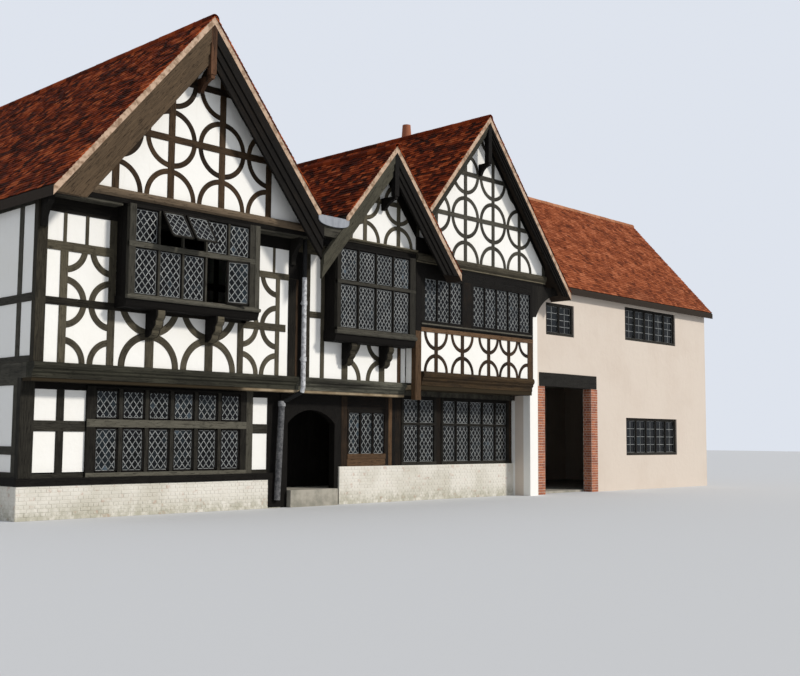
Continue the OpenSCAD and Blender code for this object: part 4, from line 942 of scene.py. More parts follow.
def bracket(heap, x, wide, top, drop, reach, tone):
    """A bracket carved in three lobes from its seat to the wall: a near-black core, which
    paints the shade on its sides, under a front of lighter tone.
    """
    for half, out, shade in ((wide / 2, 0.0, 0.02), (wide * 0.36, 0.014, tone)):
        seat, foot = Vector((-reach - out, 0.0)), Vector((-0.060, -drop))
        fall = foot - seat
        bulge = Vector((fall.y, -fall.x)).normalized()
        lobes = [seat + fall * t + bulge * (0.035 * abs(math.sin(3 * math.pi * t))
                                            + 0.050 * math.sin(math.pi * t) + out)
                 for t in (k / 18 for k in range(19))]
        moulding(heap, x - half, x + half, [(upper_y, top), *((upper_y + p.x, top + p.y)
                 for p in lobes), (upper_y, top - drop)], shade)


BRACKET_W, BRACKET_H = 0.230, 0.540
brackets = Heap()
for us, seat_z, reach, tone in ((half_rings, left_foot_z, 0.380, 0.6),
                                (middle_studs, middle_foot_z, 0.290, 0.35)):
    for u in us:
        bracket(brackets, u, BRACKET_W, seat_z, BRACKET_H, reach, tone)
brackets.build("carved_brackets", olive_oak, "oak", "oriel_brackets", bevel=0.003)
# The pendants' oak is painted near black past the left range, as the shade that hides the middle
# gable's pendant.
dress(weathered_oak("pendant_oak", (0.210, 0.100, 0.052), "z", left_w), "apex_pendants")
# The eaves braces are near black, painted shade under the eaves.
dress(weathered_oak("brace_oak", (0.020, 0.018, 0.015), "z"), "eaves_braces")


# The gables. Each stands on a moulded beam and carries studs, rails and four-part rings
# up to its rafters, with a board to close the underside of the overhang behind the beam.
dress(weathered_oak("soffit_boards", GREY, "x"), "gable_soffits")
PITCH = math.radians(50.2)
RISE = math.tan(PITCH)
SLOPE_V, RAFTER_V = 0.115 / math.cos(PITCH), 0.150


class Roof:
    """The outline of one range's roof, as it is seen from the front."""

    def __init__(self, cx, ridge):
        self.cx, self.ridge = cx, ridge

    def top(self, x):
        return self.ridge - RISE * abs(x - self.cx)

    def under(self, x):
        return self.top(x) - SLOPE_V

    def half(self, z):
        """How far its underside reaches from its middle at a height."""
        return (self.ridge - SLOPE_V - z) / RISE

    def fall(self, x):
        """The way down the slope that x is under."""
        return math.copysign(math.cos(PITCH), x - self.cx), -math.sin(PITCH)


low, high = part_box("roof_left_outer")
left_eave_x, left_roof = low.x, Roof(high.x, high.z)
low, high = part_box("roof_middle_left")
gutter_end_x, middle_roof, gutter_z = low.x, Roof(high.x, high.z), low.z + SLOPE_V
low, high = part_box("roof_right_outer")
right_eave_x, right_roof = high.x, Roof(low.x, high.z)
right_verge_y, roof_rear_y = low.y, high.y
verge_y, gutter_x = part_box("roof_left_inner")[0].y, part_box("roof_left_inner")[1].x
middle_eave_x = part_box("roof_middle_right")[1].x
valley_x = (middle_roof.ridge - right_roof.ridge
            + RISE * (middle_roof.cx + right_roof.cx)) / (2 * RISE)
RAFTER_PROUD = 0.006


def rafter(heap, roof, end_x, depth, tone):
    shape = [(x, roof.under(x) - d) for x, d in
             ((roof.cx, 0.0), (roof.cx, depth), (end_x, depth), (end_x, 0.0))]
    plate(heap, gable, shape, -RAFTER_PROUD, TIMBER_T - RAFTER_PROUD, roof.fall(end_x), tone)


def gable_grid(heap, roof, base, rows, row, spacing, radius, widths, x0, x1,
               right_rafter=RAFTER_V, halved=False):
    """Studs, rails and rings between the rafters of one gable. Where halved, a ring that
    would meet a rafter stops at its stud."""
    stud_w, ring_w, rail_w = widths
    cx, tuck = roof.cx, 0.110

    def room(x):
        return roof.under(x) - RAFTER_V + tuck

    def inside(u, v):
        return x0 < u < x1 and base - 0.03 < v < room(u) + 0.03

    posts = [cx + k * spacing for k in (-1.5, -0.5, 0.5, 1.5)]
    for u in posts:
        stud(heap, gable, u, base - 0.02, min(room(u), base + (rows + 1) * row), stud_w)
    for j in range(1, rows + 1):
        v = base + j * row
        reach = roof.half(v + RAFTER_V) + tuck / 2
        rail(heap, gable, v, max(x0, cx - reach), min(x1, cx + reach), rail_w)
    for u in posts:
        for j in range(rows + 1):
            v, far = base + j * row, u + math.copysign(radius, u - cx)
            cut_off = halved and room(far) - v < radius * 1.1
            ring(heap, gable, u, v, radius, ring_w, lambda a, b: inside(a, b) and not (
                cut_off and abs(a - cx) > abs(u - cx) + 0.02))
    rafter(heap, roof, x0, RAFTER_V, 0.3)
    # The right-hand rafter's low tone paints the shade that the roof's overhang casts on it.
    rafter(heap, roof, x1, right_rafter, 0.08)


beam_top, middle_top, right_top = upper_top + 0.255, upper_top + 0.150, upper_top + 0.100
right_beam_end = end_x + 0.590
left_row = (left_roof.ridge - SLOPE_V - beam_top) / 2.96
middle_row = (middle_roof.ridge - SLOPE_V - middle_top) / 2.095
right_row = (right_roof.ridge - SLOPE_V - right_top) / 3.2
grid = Heap(0.20, 0.42)
reach = left_roof.half(beam_top)
left_in, left_out = left_roof.cx - reach, left_roof.cx + reach
gable_grid(grid, left_roof, beam_top, 2, left_row, 1.286, 0.620, (0.150, 0.105, 0.135),
           left_in, left_out, halved=True)
grid.build("gable_timbers_left", brown_oak, "oak", "gable_frame_left", bevel=0.005)
skim = Heap()
plate(skim, gable, [(left_in, beam_top), (left_out, beam_top),
                    (left_roof.cx, left_roof.ridge - SLOPE_V)], SKIM, SKIM + SKIM_T, (1, 0))
skim.build("gable_skim", white_plaster, "plaster")
grid = Heap(0.45, 0.65)
gable_grid(grid, middle_roof, middle_top, 1, middle_row, 1.170, 0.515, (0.110, 0.095, 0.110),
           middle_roof.cx - middle_roof.half(middle_top), right_x, 0.400)
grid.build("gable_timbers_middle", olive_oak, "oak", "gable_frame_middle", bevel=0.004)
grid = Heap(0.4, 0.6)
gable_grid(grid, right_roof, right_top, 3, right_row, 1.175, 0.5675, (0.110, 0.095, 0.110),
           right_x, right_beam_end)
for u in (right_x + 0.060, right_beam_end - 0.060):
    stud(grid, gable, u, right_top, right_roof.under(u) - 0.03, 0.120)
# A near-black board under the middle roof's eave paints the shade in that corner.
plate(grid, gable, oblong(right_x, middle_eave_x, right_top, upper_top + 0.500), -0.012, 0.020,
      (1, 0), 0.03)
grid.build("gable_timbers_right", grey_oak, "oak", "gable_frame_right", bevel=0.004)

beam_low, beam_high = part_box("gable_beams")
BEAM_D = beam_high.y - beam_low.y - 0.060


def gable_beam(name, finish, x0, x1, foot, nosing, top, tone, line=None):
    """A moulded beam: a nosing whose tone paints sunlight on it, over a sunk face painted near
    black as the shade under the nosing, with a bead between them where line gives its tone."""
    y = beam_low.y + 0.060
    beams = Heap()
    moulding(beams, x0, x1, [(y + BEAM_D, foot), (y + 0.030, foot), (y + 0.010, nosing),
                             (y + BEAM_D, nosing)], 0.02)
    swell = top - nosing
    moulding(beams, x0, x1, [
        (y + BEAM_D, nosing), (y, nosing), (y - 0.045, nosing + swell * 0.25),
        (y - 0.060, nosing + swell * 0.6), (y - 0.045, top - swell * 0.1), (y - 0.020, top),
        (y + BEAM_D, top)], tone)
    if line is not None:
        moulding(beams, x0, x1, [(y + 0.10, nosing - 0.045), (y - 0.005, nosing - 0.045),
                                 (y - 0.005, nosing - 0.010), (y + 0.10, nosing - 0.010)], line)
    beams.build(name, finish, "oak", "gable_beams", bevel=0.004)


gable_beam("gable_beam_left", weathered_oak("pale_beam", (0.150, 0.110, 0.072)), beam_low.x,
           2 * left_roof.cx - beam_low.x, upper_top, upper_top + 0.090, beam_top, 1.0)
gable_beam("gable_beam_middle", olive_oak,
           middle_roof.cx - middle_roof.half(upper_top - 0.09), right_x, upper_top - 0.090,
           middle_top - 0.055, middle_top, 0.8, 0.3)
gable_beam("gable_beam_right", olive_oak, right_x, beam_high.x, RIGHT_BEAM, right_top - 0.190,
           right_top, 0.45, 0.8)


# The bargeboards. Three stepped boards of oak close the front of each slope, nailed to the
# rafters' ends, from the pendant at the apex to a level cut at the eave.
BARGE_V, PENDANT_W = 0.500 / math.cos(PITCH), 0.140
FRONT_LAYERS = (0.0, 0.030, 0.4), (0.030, 0.060, 0.7), (0.060, 0.130, 1.0)
REAR_LAYERS = (0.0, 0.030, 0.27), (0.030, 0.100, 0.6)


def bargeboard(heap, wall, roof, in_x, out_x, depth, layers, foot=0.0, lean=0.0, tone=None):
    for w0, w1, share in layers:
        d = depth * share
        shape = [(x, roof.under(x) - drop) for x, drop in
                 ((in_x, 0.0), (in_x, d), (out_x + lean * d, d), (out_x, 0.0))]
        plate(heap, wall, cut(shape, foot, roof.ridge, 1), w0, w1, roof.fall(out_x), tone)


def barge(name, finish, wall, roof, runs, rear_runs):
    """A gable's boards. A front run is given as its end, depth, foot, lean and tone, and a
    rear run as its end and, where it is cut level, its foot."""
    boards = Heap()
    for out_x, depth, *cuts in runs:
        in_x = roof.cx + math.copysign(PENDANT_W / 2, out_x - roof.cx)
        bargeboard(boards, wall, roof, in_x, out_x, depth, FRONT_LAYERS, *cuts)
    for out_x, *foot in rear_runs:
        bargeboard(boards, facing_rear(roof_rear_y), roof, roof.cx, out_x, BARGE_V, REAR_LAYERS,
                   *foot)
    boards.build("barge_" + name, finish, "oak", "bargeboards_" + name, bevel=0.004)


# LIT and SHADED are board tones that paint sunlight and shade on the runs.
LIT, SHADED, RIGHT_DEPTH = 0.50, 0.09, 0.260
brown_boards = weathered_oak("brown_boards", (0.175, 0.117, 0.068))
olive_boards = weathered_oak("olive_boards", (0.118, 0.110, 0.078))
valley_cut_x = left_w + 0.020
left_foot, middle_foot, right_foot = upper_top - 0.140, upper_top - 0.440, upper_top - 0.180
barge("left", brown_boards, facing_front(verge_y), left_roof,
      ((left_eave_x, BARGE_V, left_foot, 0.0, LIT), (valley_cut_x, BARGE_V, 0.0, 0.0, SHADED)),
      ((left_eave_x, left_foot), (gutter_x,)))
barge("middle", olive_boards, facing_front(verge_y), middle_roof,
      ((valley_cut_x, BARGE_V * 0.66, 0.0, 0.0, LIT),
       (middle_eave_x, BARGE_V * 0.8, middle_foot, 0.0, SHADED)),
      ((gutter_end_x,), (valley_x,)))
barge("right", olive_boards, facing_front(right_verge_y), right_roof,
      ((valley_x + SLOPE_V / (2 * RISE), RIGHT_DEPTH, 0.0, 1 / (2 * RISE), 0.35),
       (right_eave_x, RIGHT_DEPTH, right_foot - 0.270, 0.0, SHADED)),
      ((valley_x,), (right_eave_x, right_foot)))


# The tiled roofs. Handmade clay tiles hang on battens in courses, each lapped by the two
# above it, and half-round tiles bedded in mortar cap the ridges. The old ones are mottled
# red, brown and near black.
def clay_tiles(name, stops, patch_colour, patch_share):
    tiles = Finish(name, rough=0.9, specular=0.05)
    broad = tiles.noise(0.55, 5, 0.6)
    blotch = tiles.noise(3.2, 5, 0.65)
    grit = tiles.noise(80.0, 3)
    colour = tiles.ramp(tiles.tint() * 0.76 + blotch * 0.24, *stops)
    grime = (broad * 0.6 + blotch * 0.4).step(0.50, 0.66)
    colour = tiles.mix(colour, patch_colour, grime * patch_share)
    lichen = tiles.noise(14.0, 4, 0.7).step(0.66, 0.74)
    colour = tiles.mix(colour, (0.28, 0.24, 0.16), lichen * 0.35)
    return tiles.wear(colour, blotch * 0.5 + grit * 0.5, 0.004, blotch * 0.25 + 0.7)


TILE_W, GAUGE, LAP, TILE_T, TAIL_IN = 0.165, 0.100, 0.090, 0.012, 0.050
TILE_GAP, TAIL_LIFT, HEAD_LIFT, OFFCUT = 0.0015, 0.022, 0.006, 0.030


def slope_tiles(heap, place, length, climb, seed, hidden=None, spread=0.30):
    """Courses of tiles on a slope: u along the eave, s up it, h off its surface."""
    chance = random.Random(seed)
    for k in range(int((climb - TAIL_IN) / GAUGE) + 1):
        tail = TAIL_IN + k * GAUGE
        head = min(tail + GAUGE + LAP, climb)
        u = -TILE_W / 2 * (k % 2)
        while u < length:
            left, right = max(u, 0.0) + TILE_GAP, min(u + TILE_W, length) - TILE_GAP
            u += TILE_W
            if right - left < OFFCUT or hidden and hidden((left + right) / 2, tail):
                continue
            slip = [chance.uniform(-0.006, 0.006) for _ in range(2)]
            lift = [TAIL_LIFT + chance.uniform(-0.004, 0.010) for _ in range(2)]
            sag = 0.004 + 0.004 * noise.noise(Vector((u * 0.5, tail * 0.5, seed)))
            tails = [(left, tail + slip[0], lift[0] + sag), (right, tail + slip[1], lift[1] + sag)]
            heads = [(right, head, HEAD_LIFT), (left, head, HEAD_LIFT)]
            body = [[place(a, b, c - drop) for a, b, c in tails + heads]
                    for drop in (TILE_T, 0.0)]
            tone = 0.5 + chance.gauss(0.0, spread) + 0.45 * noise.noise(
                Vector((u * 1.6, tail * 2.4, seed + 7)))
            heap.loft(body, min(1.0, max(0.0, tone)))


def along_depth(x0, z0, x1, z1, y0):
    """Places a point on a slope that climbs from (x0, z0) to (x1, z1), its eave along y."""
    run = math.hypot(x1 - x0, z1 - z0)
    cx, cz = (x1 - x0) / run, (z1 - z0) / run
    nx, nz = (-cz, cx) if cx > 0 else (cz, -cx)
    return lambda u, s, h: (x0 + s * cx + h * nx, y0 + u, z0 + s * cz + h * nz), run


RIDGE_TILE, RIDGE_R, RIDGE_T, RIDGE_LEG = 0.330, 0.105, 0.016, 0.045
RIDGE_GAP, RIDGE_DROP = 0.004, 0.058


def ridge_tiles(heap, place, length, seed):
    """Half-round tiles along a ridge: t along it, a across it, b above its line."""
    chance = random.Random(seed)
    turns = [math.radians(a) for a in range(-90, 91, 20)]
    for k in range(math.ceil(length / RIDGE_TILE)):
        t0 = k * RIDGE_TILE + RIDGE_GAP
        t1 = min((k + 1) * RIDGE_TILE, length) - RIDGE_GAP
        lift = [chance.uniform(-0.004, 0.004) - RIDGE_DROP for _ in range(2)]
        outer = [(RIDGE_R * math.sin(a), RIDGE_R * math.cos(a)) for a in turns]
        hollow = 1 - RIDGE_T / RIDGE_R
        inner = [(p * hollow, q * hollow) for p, q in outer]
        outer = [(-RIDGE_R, -RIDGE_LEG), *outer, (RIDGE_R, -RIDGE_LEG)]
        inner = [(RIDGE_T - RIDGE_R, -RIDGE_LEG), *inner, (RIDGE_R - RIDGE_T, -RIDGE_LEG)]
        section = outer + inner[::-1]
        heap.loft([[place(t, a, b + up) for a, b in section] for t, up in zip((t0, t1), lift)],
                  chance.uniform(0.2, 0.8))


old_tiles = clay_tiles("old_tiles", (
    (0.0, (0.010, 0.004, 0.002)), (0.35, (0.070, 0.012, 0.004)), (0.6, (0.205, 0.032, 0.008)),
    (0.85, (0.400, 0.080, 0.020)), (1.0, (0.60, 0.200, 0.080))), (0.014, 0.005, 0.003), 0.65)
VERGE_LAP = 0.020
WING_PITCH = math.radians(48)
wing_low, wing_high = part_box("roof_wing_front")
wing_cy, wing_ridge = wing_high.y, wing_high.z


def wing_z(y):
    return wing_ridge - math.tan(WING_PITCH) * abs(y - wing_cy)


for name, roof, eave_x, y0, seed in (
        ("left_outer", left_roof, left_eave_x, verge_y, 31),
        ("left_inner", left_roof, gutter_x, verge_y, 32),
        ("middle_left", middle_roof, gutter_end_x, verge_y, 33),
        ("middle_right", middle_roof, middle_eave_x, verge_y, 34),
        ("right_inner", right_roof, valley_x, right_verge_y, 35),
        ("right_outer", right_roof, right_eave_x, right_verge_y, 36)):
    y0 -= VERGE_LAP
    place, climb = along_depth(eave_x, roof.top(eave_x), roof.cx, roof.ridge, y0)
    run_x = (roof.cx - eave_x) / climb

    def hidden(u, s):
        x, y = eave_x + s * run_x, y0 + u
        if name == "middle_right":
            return x > valley_x + 0.05 and y > gable_y - 0.06
        return name == "right_outer" and wing_z(y) > roof.top(x) + 0.12

    tiles = Heap()
    slope_tiles(tiles, place, roof_rear_y - y0, climb, seed, hidden)
    tiles.build("tiles_" + name, old_tiles, "old_tiles")

caps = Heap()
for roof, y0, seed in ((left_roof, verge_y, 51), (right_roof, right_verge_y, 53),
                       (middle_roof, verge_y, 52)):
    ridge_tiles(caps, lambda t, a, b: (roof.cx + a, y0 - VERGE_LAP + t, roof.ridge + b),
                roof_rear_y - y0 + VERGE_LAP, seed)
caps.build("ridge_tiles", old_tiles, "old_tiles", bevel=0.003)


# The gutter between the first two roofs, dressed from sheet lead with a tongue turned down
# over its board. The rainwater pipe below it is of cast lengths with collars, painted near
# black under the gables as their shade, and pale down to the jetty, where it is led back to
# the wall, near black again as the jetty's shade, and turns grey.
gutter_low, gutter_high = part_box("valley_gutter")
gutter_rim, TROUGH_H, LEAD_T = gutter_high.z, 0.090, 0.030
lead = Heap()
trough = oblong(gutter_low.x, gutter_end_x, gutter_rim - TROUGH_H, gutter_rim)
lead.loft([[(x, y, z) for x, z in trough] for y in (gutter_low.y + LEAD_T, gutter_high.y)])
tongue_cx, tongue_w, tongue_h = gutter_low.x + 0.380, 0.480, 0.215
round_foot = [(-math.cos(a), -math.sin(a) ** 0.5) for a in (math.pi * k / 16 for k in range(17))]
tongue = [(tongue_cx + u * tongue_w, gutter_rim - LEAD_T + v * tongue_h) for u, v in round_foot]
lead.loft([[(x, y, z) for x, z in tongue] for y in (gutter_low.y, gutter_low.y + LEAD_T)])
gutter_lead = old_lead("gutter_lead", (0.19, 0.20, 0.225), (0.30, 0.32, 0.35))
lead.build("lead_gutter", gutter_lead, "lead", "valley_gutter", bevel=0.006)


def pipe_paint_and_shade():
    pipe = Finish("pipe_paint_and_shade", rough=0.6, specular=0.2)
    bloom = pipe.noise(14.0, 5, 0.7)
    grey = pipe.mix((0.045, 0.046, 0.050), (0.18, 0.18, 0.18), bloom.step(0.35, 0.75))
    pale = pipe.mix((0.30, 0.30, 0.31), (0.66, 0.67, 0.68), bloom.step(0.35, 0.62))
    # A tint of 0 paints shade near black; from there the tint runs through grey paint to pale
    # paint.
    shade_to_grey_paint = pipe.mix((0.008, 0.008, 0.008), grey, pipe.tint().step(0.0, 0.5))
    return pipe.wear(pipe.mix(shade_to_grey_paint, pale, pipe.tint().step(0.5, 1.0)), bloom, 0.002)


def pipe(heap, points, radius, tint):
    """A round pipe through points, mitred where it bends."""
    path = [Vector(p) for p in points]
    rings = []
    for i, at in enumerate(path):
        way = path[min(i + 1, len(path) - 1)] - path[max(i - 1, 0)]
        across = way.cross(Vector((0, 1, 0))).normalized()
        over = across.cross(way).normalized()
        rings.append([tuple(at + radius * (across * math.cos(a) + over * math.sin(a)))
                      for a in (math.pi * k / 8 for k in range(16))])
    heap.loft(rings, tint)


pipe_low, pipe_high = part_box("downpipe")
knee_x, foot_x = left_w + 0.095, left_w - 0.190
knee_y, foot_y = upper_y - 0.110, -0.140
drains = Heap()
pipe(drains, ((knee_x, knee_y, pipe_high.z), (knee_x, knee_y, LEFT_RAIL)), 0.050, 0.1)
pipe(drains, ((knee_x, knee_y, LEFT_RAIL + 0.05), (knee_x, knee_y, jetty_z + 0.040),
              (knee_x - 0.010, knee_y + 0.030, jetty_z - 0.060)), 0.055, 1.0)
pipe(drains, ((knee_x, knee_y + 0.020, jetty_z - 0.040), (foot_x, foot_y - 0.020, jetty_z - 0.290),
              (foot_x, foot_y, jetty_z - 0.360)), 0.050, 0.0)
pipe(drains, ((foot_x, foot_y, jetty_z - 0.300), (foot_x - 0.100, foot_y, pipe_low.z)), 0.072, 0.5)
pipe(drains, ((foot_x, foot_y, jetty_z - 0.260), (foot_x, foot_y, jetty_z - 0.380)), 0.086, 0.7)
for z in (jetty_z + 0.700, jetty_z + 2.000):
    pipe(drains, ((knee_x, knee_y, z - 0.05), (knee_x, knee_y, z + 0.05)), 0.068, 1.0)
    pipe(drains, ((knee_x, knee_y, z), (knee_x + 0.001, upper_y + 0.02, z + 0.001)), 0.020, 1.0)
drains.build("rainwater_pipe", pipe_paint_and_shade(), "lead", "downpipe", bevel=0.002)


# Under the tiles, each slope's battens and boards. Their front edge is pointed with lime
# mortar, which shows as a pale line along every verge.
def deck_of_slope(name, axis):
    deck = Finish(name, rough=0.9, specular=0.15)
    facing = deck.split(deck.add("NewGeometry", out="Normal"))[axis]
    edge = abs(facing).step(0.7, 0.9)
    lump = deck.noise(9.0, 5, 0.6)
    mortar = deck.mix((0.54, 0.39, 0.28), (0.26, 0.17, 0.11), lump.step(0.42, 0.66))
    colour = deck.mix((0.030, 0.022, 0.016), mortar, edge)
    return deck.wear(colour, lump, 0.01)


dress(deck_of_slope("verge_mortar", 1), "roof_left_outer", "roof_left_inner",
      "roof_middle_left", "roof_middle_right", "roof_right_inner", "roof_right_outer")
dress(deck_of_slope("wing_verge_mortar", 0), "roof_wing_front", "roof_wing_rear")


# The left side and the rear. Plain close studding with rails and small windows, framed,
# pegged and filled as the front is, but with no curved braces.
SIDE_BAYS, REAR_BAYS, SIDE_IN = 6, 12, 0.225
side = facing_left(0.0)
side_pitch = (rear_y - 2 * SIDE_IN) / SIDE_BAYS
side_studs = [SIDE_IN + i * side_pitch for i in range(SIDE_BAYS + 1)]
plate_top = left_roof.under(0.0)
plate_z = plate_top - 0.185
side_frame = Heap()
for u in side_studs:
    stud(side_frame, side, u, plinth_h, jetty_z)
    stud(side_frame, side, u, jetty_top, plate_z)
side_from, upper_from = STUD_W, upper_y + STUD_W
for u0, v0, v1 in ((side_from, plinth_h, plinth_h + 0.110),
                   (side_from, jetty_z - 0.130, jetty_z),
                   (upper_from, jetty_top, jetty_top + 0.110),
                   (upper_from, plate_z, plate_top)):
    beam(side_frame, side, u0, rear_y - STUD_W, v0, v1)
side_rows = (plinth_h + 0.600, jetty_z - 0.330), (jetty_top + 1.300, jetty_top + 2.400)
for (v0, v1), u0 in zip(side_rows, (side_from, upper_from)):
    rail(side_frame, side, v0 - STUD_W / 2, u0, rear_y - STUD_W)
    for i in (1, 4):
        window(side_frame, side, side_studs[i] + STUD_W / 2, side_studs[i + 1] - STUD_W / 2,
               v0, v1, 2)
side_frame.build("side_timbers", grey_oak, "oak", "side_frame_left", bevel=0.005)


def rear_top(x):
    """The height of the rear wall's timbers under the slopes and the gutter."""
    if gutter_x <= x < gutter_end_x:
        return gutter_z - 0.150
    roof = left_roof if x < gutter_x else middle_roof if x < valley_x else right_roof
    return roof.under(x) + 0.05


rear_wall = facing_rear(rear_y)
rear_pitch = (rear_end_x - STUD_W) / REAR_BAYS
rear_studs = [STUD_W / 2 + i * rear_pitch for i in range(REAR_BAYS + 1)]
rear_frame = Heap()
for u in rear_studs:
    stud(rear_frame, rear_wall, u, floor_z, rear_top(u))
for v, u0, u1 in ((floor_z + 0.075, 0.0, rear_end_x), (jetty_z + 0.100, 0.0, rear_end_x),
                  (upper_top + 0.100, 0.100, rear_end_x - 0.300)):
    rail(rear_frame, rear_wall, v, u0, u1, 0.200)
for v0, v1 in ((floor_z + 1.000, jetty_z - 0.260), side_rows[1]):
    rail(rear_frame, rear_wall, v0 - STUD_W / 2, 0.0, rear_end_x)
    for i in (1, 3, 6, 8, 10):
        window(rear_frame, rear_wall, rear_studs[i] + STUD_W / 2,
               rear_studs[i + 1] - STUD_W / 2, v0, v1, 2)
rear_frame.build("rear_timbers", grey_oak, "oak", "rear_frame", bevel=0.005)


# The wing. Masonry walls under a warm smooth render carry one long roof of brighter tiles.
# Its doorway has brick jambs and a thick oak lintel, and its windows upright panes.
dress(limed_plaster("wing_render", (0.66, 0.58, 0.50), (0.58, 0.49, 0.41),
                    (0.42, 0.35, 0.28)), "wing_front_wall", "wing_end_wall", "wing_rear_wall")
dark_oak = weathered_oak("dark_oak", (0.034, 0.032, 0.027))
wing_frames = Heap()
for u0, wide, v0, tall, cols in ((end_x + 1.115, 1.435, upper_top - 1.520, 0.960, 2),
                                 (end_x + 5.425, 3.195, upper_top - 1.385, 1.085, 5),
                                 (end_x + 5.425, 3.195, 1.100, 1.200, 5)):
    window(wing_frames, facing_front(upper_y + 0.040), u0, u0 + wide, v0, v0 + tall, cols,
           thick=0.090, fill=oblongs)
LINTEL_Z, LINTEL_H, LINTEL_PAST = 3.149, 0.397, 0.287
DOOR_FROM, DOOR_TO, JAMB_W, JAMB_T = end_x + 1.041, end_x + 3.439, 0.342, 0.300
timber(wing_frames, facing_front(upper_y), (DOOR_FROM - LINTEL_PAST, LINTEL_Z + LINTEL_H / 2),
       (DOOR_TO + LINTEL_PAST, LINTEL_Z + LINTEL_H / 2), LINTEL_H - 2 * CLOSE, 0.020, JAMB_T)
wing_frames.build("wing_timbers", dark_oak, "oak", "wing_windows", bevel=0.006)
panes.build("window_panes", old_glass(), "leaded_glass", "ground_glass", "upper_glass")
cames.build("window_leads", old_lead("came_lead", (0.15, 0.16, 0.16), (0.34, 0.35, 0.34)), "lead")


def red_brick(name, first, second):
    clay = Finish(name, rough=0.88, specular=0.2)
    cloud = clay.noise(6.0, 5, 0.6)
    grit = clay.noise(90.0, 3)
    colour = clay.mix(first, second, (cloud * 0.5 + clay.tint() * 0.5).step(0.3, 0.7))
    return clay.wear(colour, cloud * 0.5 + grit * 0.5, 0.004)


jamb_bricks = Heap()
for wall, u0, u1, seed in (
        (facing_front(upper_y), DOOR_FROM - JAMB_W, DOOR_FROM, 61),
        (facing_front(upper_y), DOOR_TO, DOOR_TO + JAMB_W, 62),
        (facing_right(DOOR_FROM), upper_y, upper_y + JAMB_T, 63),
        (facing_left(DOOR_TO), upper_y, upper_y + JAMB_T, 64)):
    lay_bricks(jamb_bricks, wall, u0, u1, 0.0, LINTEL_Z, seed)
jamb_bricks.build("jamb_bricks", red_brick("jamb_brick", (0.42, 0.15, 0.075), (0.28, 0.10, 0.06)),
                  "terracotta", bevel=0.003)

orange_tiles = clay_tiles("orange_tiles", (
    (0.0, (0.08, 0.022, 0.011)), (0.3, (0.19, 0.048, 0.019)), (0.6, (0.29, 0.080, 0.031)),
    (1.0, (0.44, 0.150, 0.070))), (0.11, 0.034, 0.017), 0.40)
for name, eave_y, way, seed in (("wing_front", wing_low.y, 1, 41),
                                ("wing_rear", 2 * wing_cy - wing_low.y, -1, 42)):
    def place(u, s, h):
        return (right_roof.cx + u,
                eave_y + way * (s * math.cos(WING_PITCH) - h * math.sin(WING_PITCH)),
                wing_z(eave_y) + s * math.sin(WING_PITCH) + h * math.cos(WING_PITCH))

    def hidden(u, s):
        x, y = right_roof.cx + u, eave_y + way * s * math.cos(WING_PITCH)
        return x < right_eave_x and wing_z(y) < right_roof.top(x) - 0.04

    tiles = Heap()
    slope_tiles(tiles, place, wing_high.x - right_roof.cx,
                abs(wing_cy - eave_y) / math.cos(WING_PITCH), seed, hidden, 0.24)
    tiles.build("tiles_" + name, orange_tiles, "orange_tiles")


# The stack behind the right-hand ridge, of red brick with one clay pot, and the ridge
# tiles that run from it along the wing.
stack_low, stack_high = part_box("chimney")
stack_top = stack_high.z - 0.440
dress(red_brick("red_clay", (0.34, 0.13, 0.07), (0.22, 0.085, 0.05)), "chimney")
stack = Heap()
for wall, u0, u1, foot, seed in (
        (facing_front(stack_low.y), stack_low.x, stack_high.x, 0.95, 71),
        (facing_rear(stack_high.y), stack_low.x, stack_high.x, 0.95, 72),
        (facing_left(stack_low.x), stack_low.y, stack_high.y, 0.40, 73),
        (facing_right(stack_high.x), stack_low.y, stack_high.y, 1.00, 74)):
    lay_bricks(stack, wall, u0, u1, stack_top - foot, stack_top, seed)
stack.build("stack_bricks", red_brick("stack_brick", (0.38, 0.13, 0.07), (0.20, 0.075, 0.05)),
            "terracotta", bevel=0.003)
caps = Heap()
ridge_tiles(caps, lambda t, a, b: (stack_high.x + t, wing_cy + a, wing_ridge + b),
            wing_high.x - stack_high.x, 54)
pale_tiles = clay_tiles("pale_tiles", (
    (0.0, (0.24, 0.09, 0.045)), (0.4, (0.36, 0.15, 0.075)), (0.7, (0.46, 0.21, 0.115)),
    (1.0, (0.56, 0.30, 0.18))), (0.20, 0.085, 0.045), 0.30)
caps.build("wing_ridge_tiles", pale_tiles, "orange_tiles", bevel=0.003)


# The studio. A pale floor and a pale surround, with one soft key light that comes from the
# front and the right.
def studio_floor():
    reach = 150.0
    mesh = bpy.data.meshes.new("studio_floor")
    mesh.from_pydata([(x * reach, y * reach, 0) for x, y in oblong(-1, 1, -1, 1)], [],
                     [(0, 1, 2, 3)])
    mesh.materials.append(Finish("studio_floor", 0.9, specular=0.1).wear((0.62, 0.63, 0.64)))
    floor = bpy.data.objects.new("studio_floor", mesh)
    bpy.context.scene.collection.objects.link(floor)


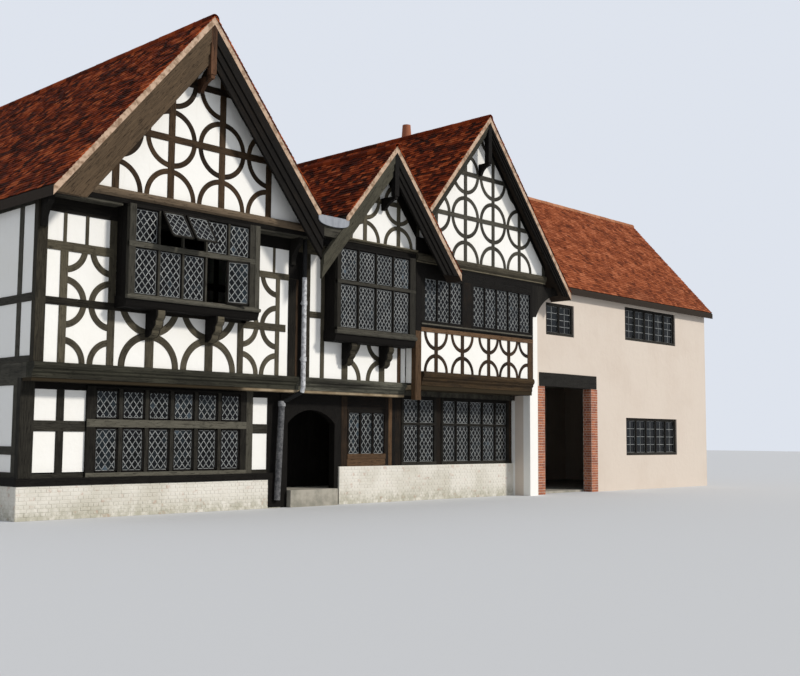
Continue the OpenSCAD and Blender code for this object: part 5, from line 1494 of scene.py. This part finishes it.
def surround(lit, seen):
    world = bpy.data.worlds.new("surround")
    bpy.context.scene.world = world
    world.use_nodes = True
    nodes, links = world.node_tree.nodes, world.node_tree.links
    rays = nodes.new("ShaderNodeLightPath")
    shown = rays.outputs["Is Camera Ray"]
    for name in ("Is Glossy Ray", "Is Transmission Ray"):
        either = nodes.new("ShaderNodeMath")
        either.operation = "MAXIMUM"
        links.new(shown, either.inputs[0])
        links.new(rays.outputs[name], either.inputs[1])
        shown = either.outputs[0]
    level = nodes.new("ShaderNodeMapRange")
    level.inputs["To Min"].default_value, level.inputs["To Max"].default_value = lit, seen
    links.new(shown, level.inputs["Value"])
    links.new(level.outputs[0], nodes["Background"].inputs["Strength"])
    nodes["Background"].inputs["Color"].default_value = (0.86, 0.91, 1.0, 1)


def key_light(turn, height, energy):
    light = bpy.data.lights.new("key", "SUN")
    light.energy, light.angle, light.color = energy, math.radians(7), (1.0, 0.95, 0.88)
    key = bpy.data.objects.new("key", light)
    bpy.context.scene.collection.objects.link(key)
    turn, height = math.radians(turn), math.radians(height)
    towards = Vector((math.sin(turn) * math.cos(height), -math.cos(turn) * math.cos(height),
                      math.sin(height)))
    key.rotation_euler = towards.to_track_quat("Z", "Y").to_euler()


studio_floor()
surround(0.55, 0.85)
key_light(29, 33, 2.6)


# The camera stands at eye height, in front of the house and to the left of it, turned
# along the fronts.
def stand_camera(place, yaw, tip, roll, lens):
    yaw, tip, roll = (math.radians(a) for a in (yaw, tip, roll))
    ahead = Vector((math.sin(yaw) * math.cos(tip), math.cos(yaw) * math.cos(tip), math.sin(tip)))
    across = Vector((math.cos(yaw), -math.sin(yaw), 0))
    over = across.cross(ahead)
    right = across * math.cos(roll) + over * math.sin(roll)
    up = over * math.cos(roll) - across * math.sin(roll)
    data = bpy.data.cameras.new("camera")
    data.lens, data.sensor_width, data.clip_end = lens, 36.0, 500.0
    camera = bpy.data.objects.new("camera", data)
    camera.matrix_world = Matrix((right, up, -ahead)).transposed().to_4x4()
    camera.matrix_world.translation = place
    bpy.context.scene.collection.objects.link(camera)
    bpy.context.scene.camera = camera


stand_camera((-9.8766, -19.3243, 1.600), 46.30, 5.27, 0.38, 48.852)
bpy.context.scene.view_settings.view_transform = "Standard"

bpy.context.view_layer.update()
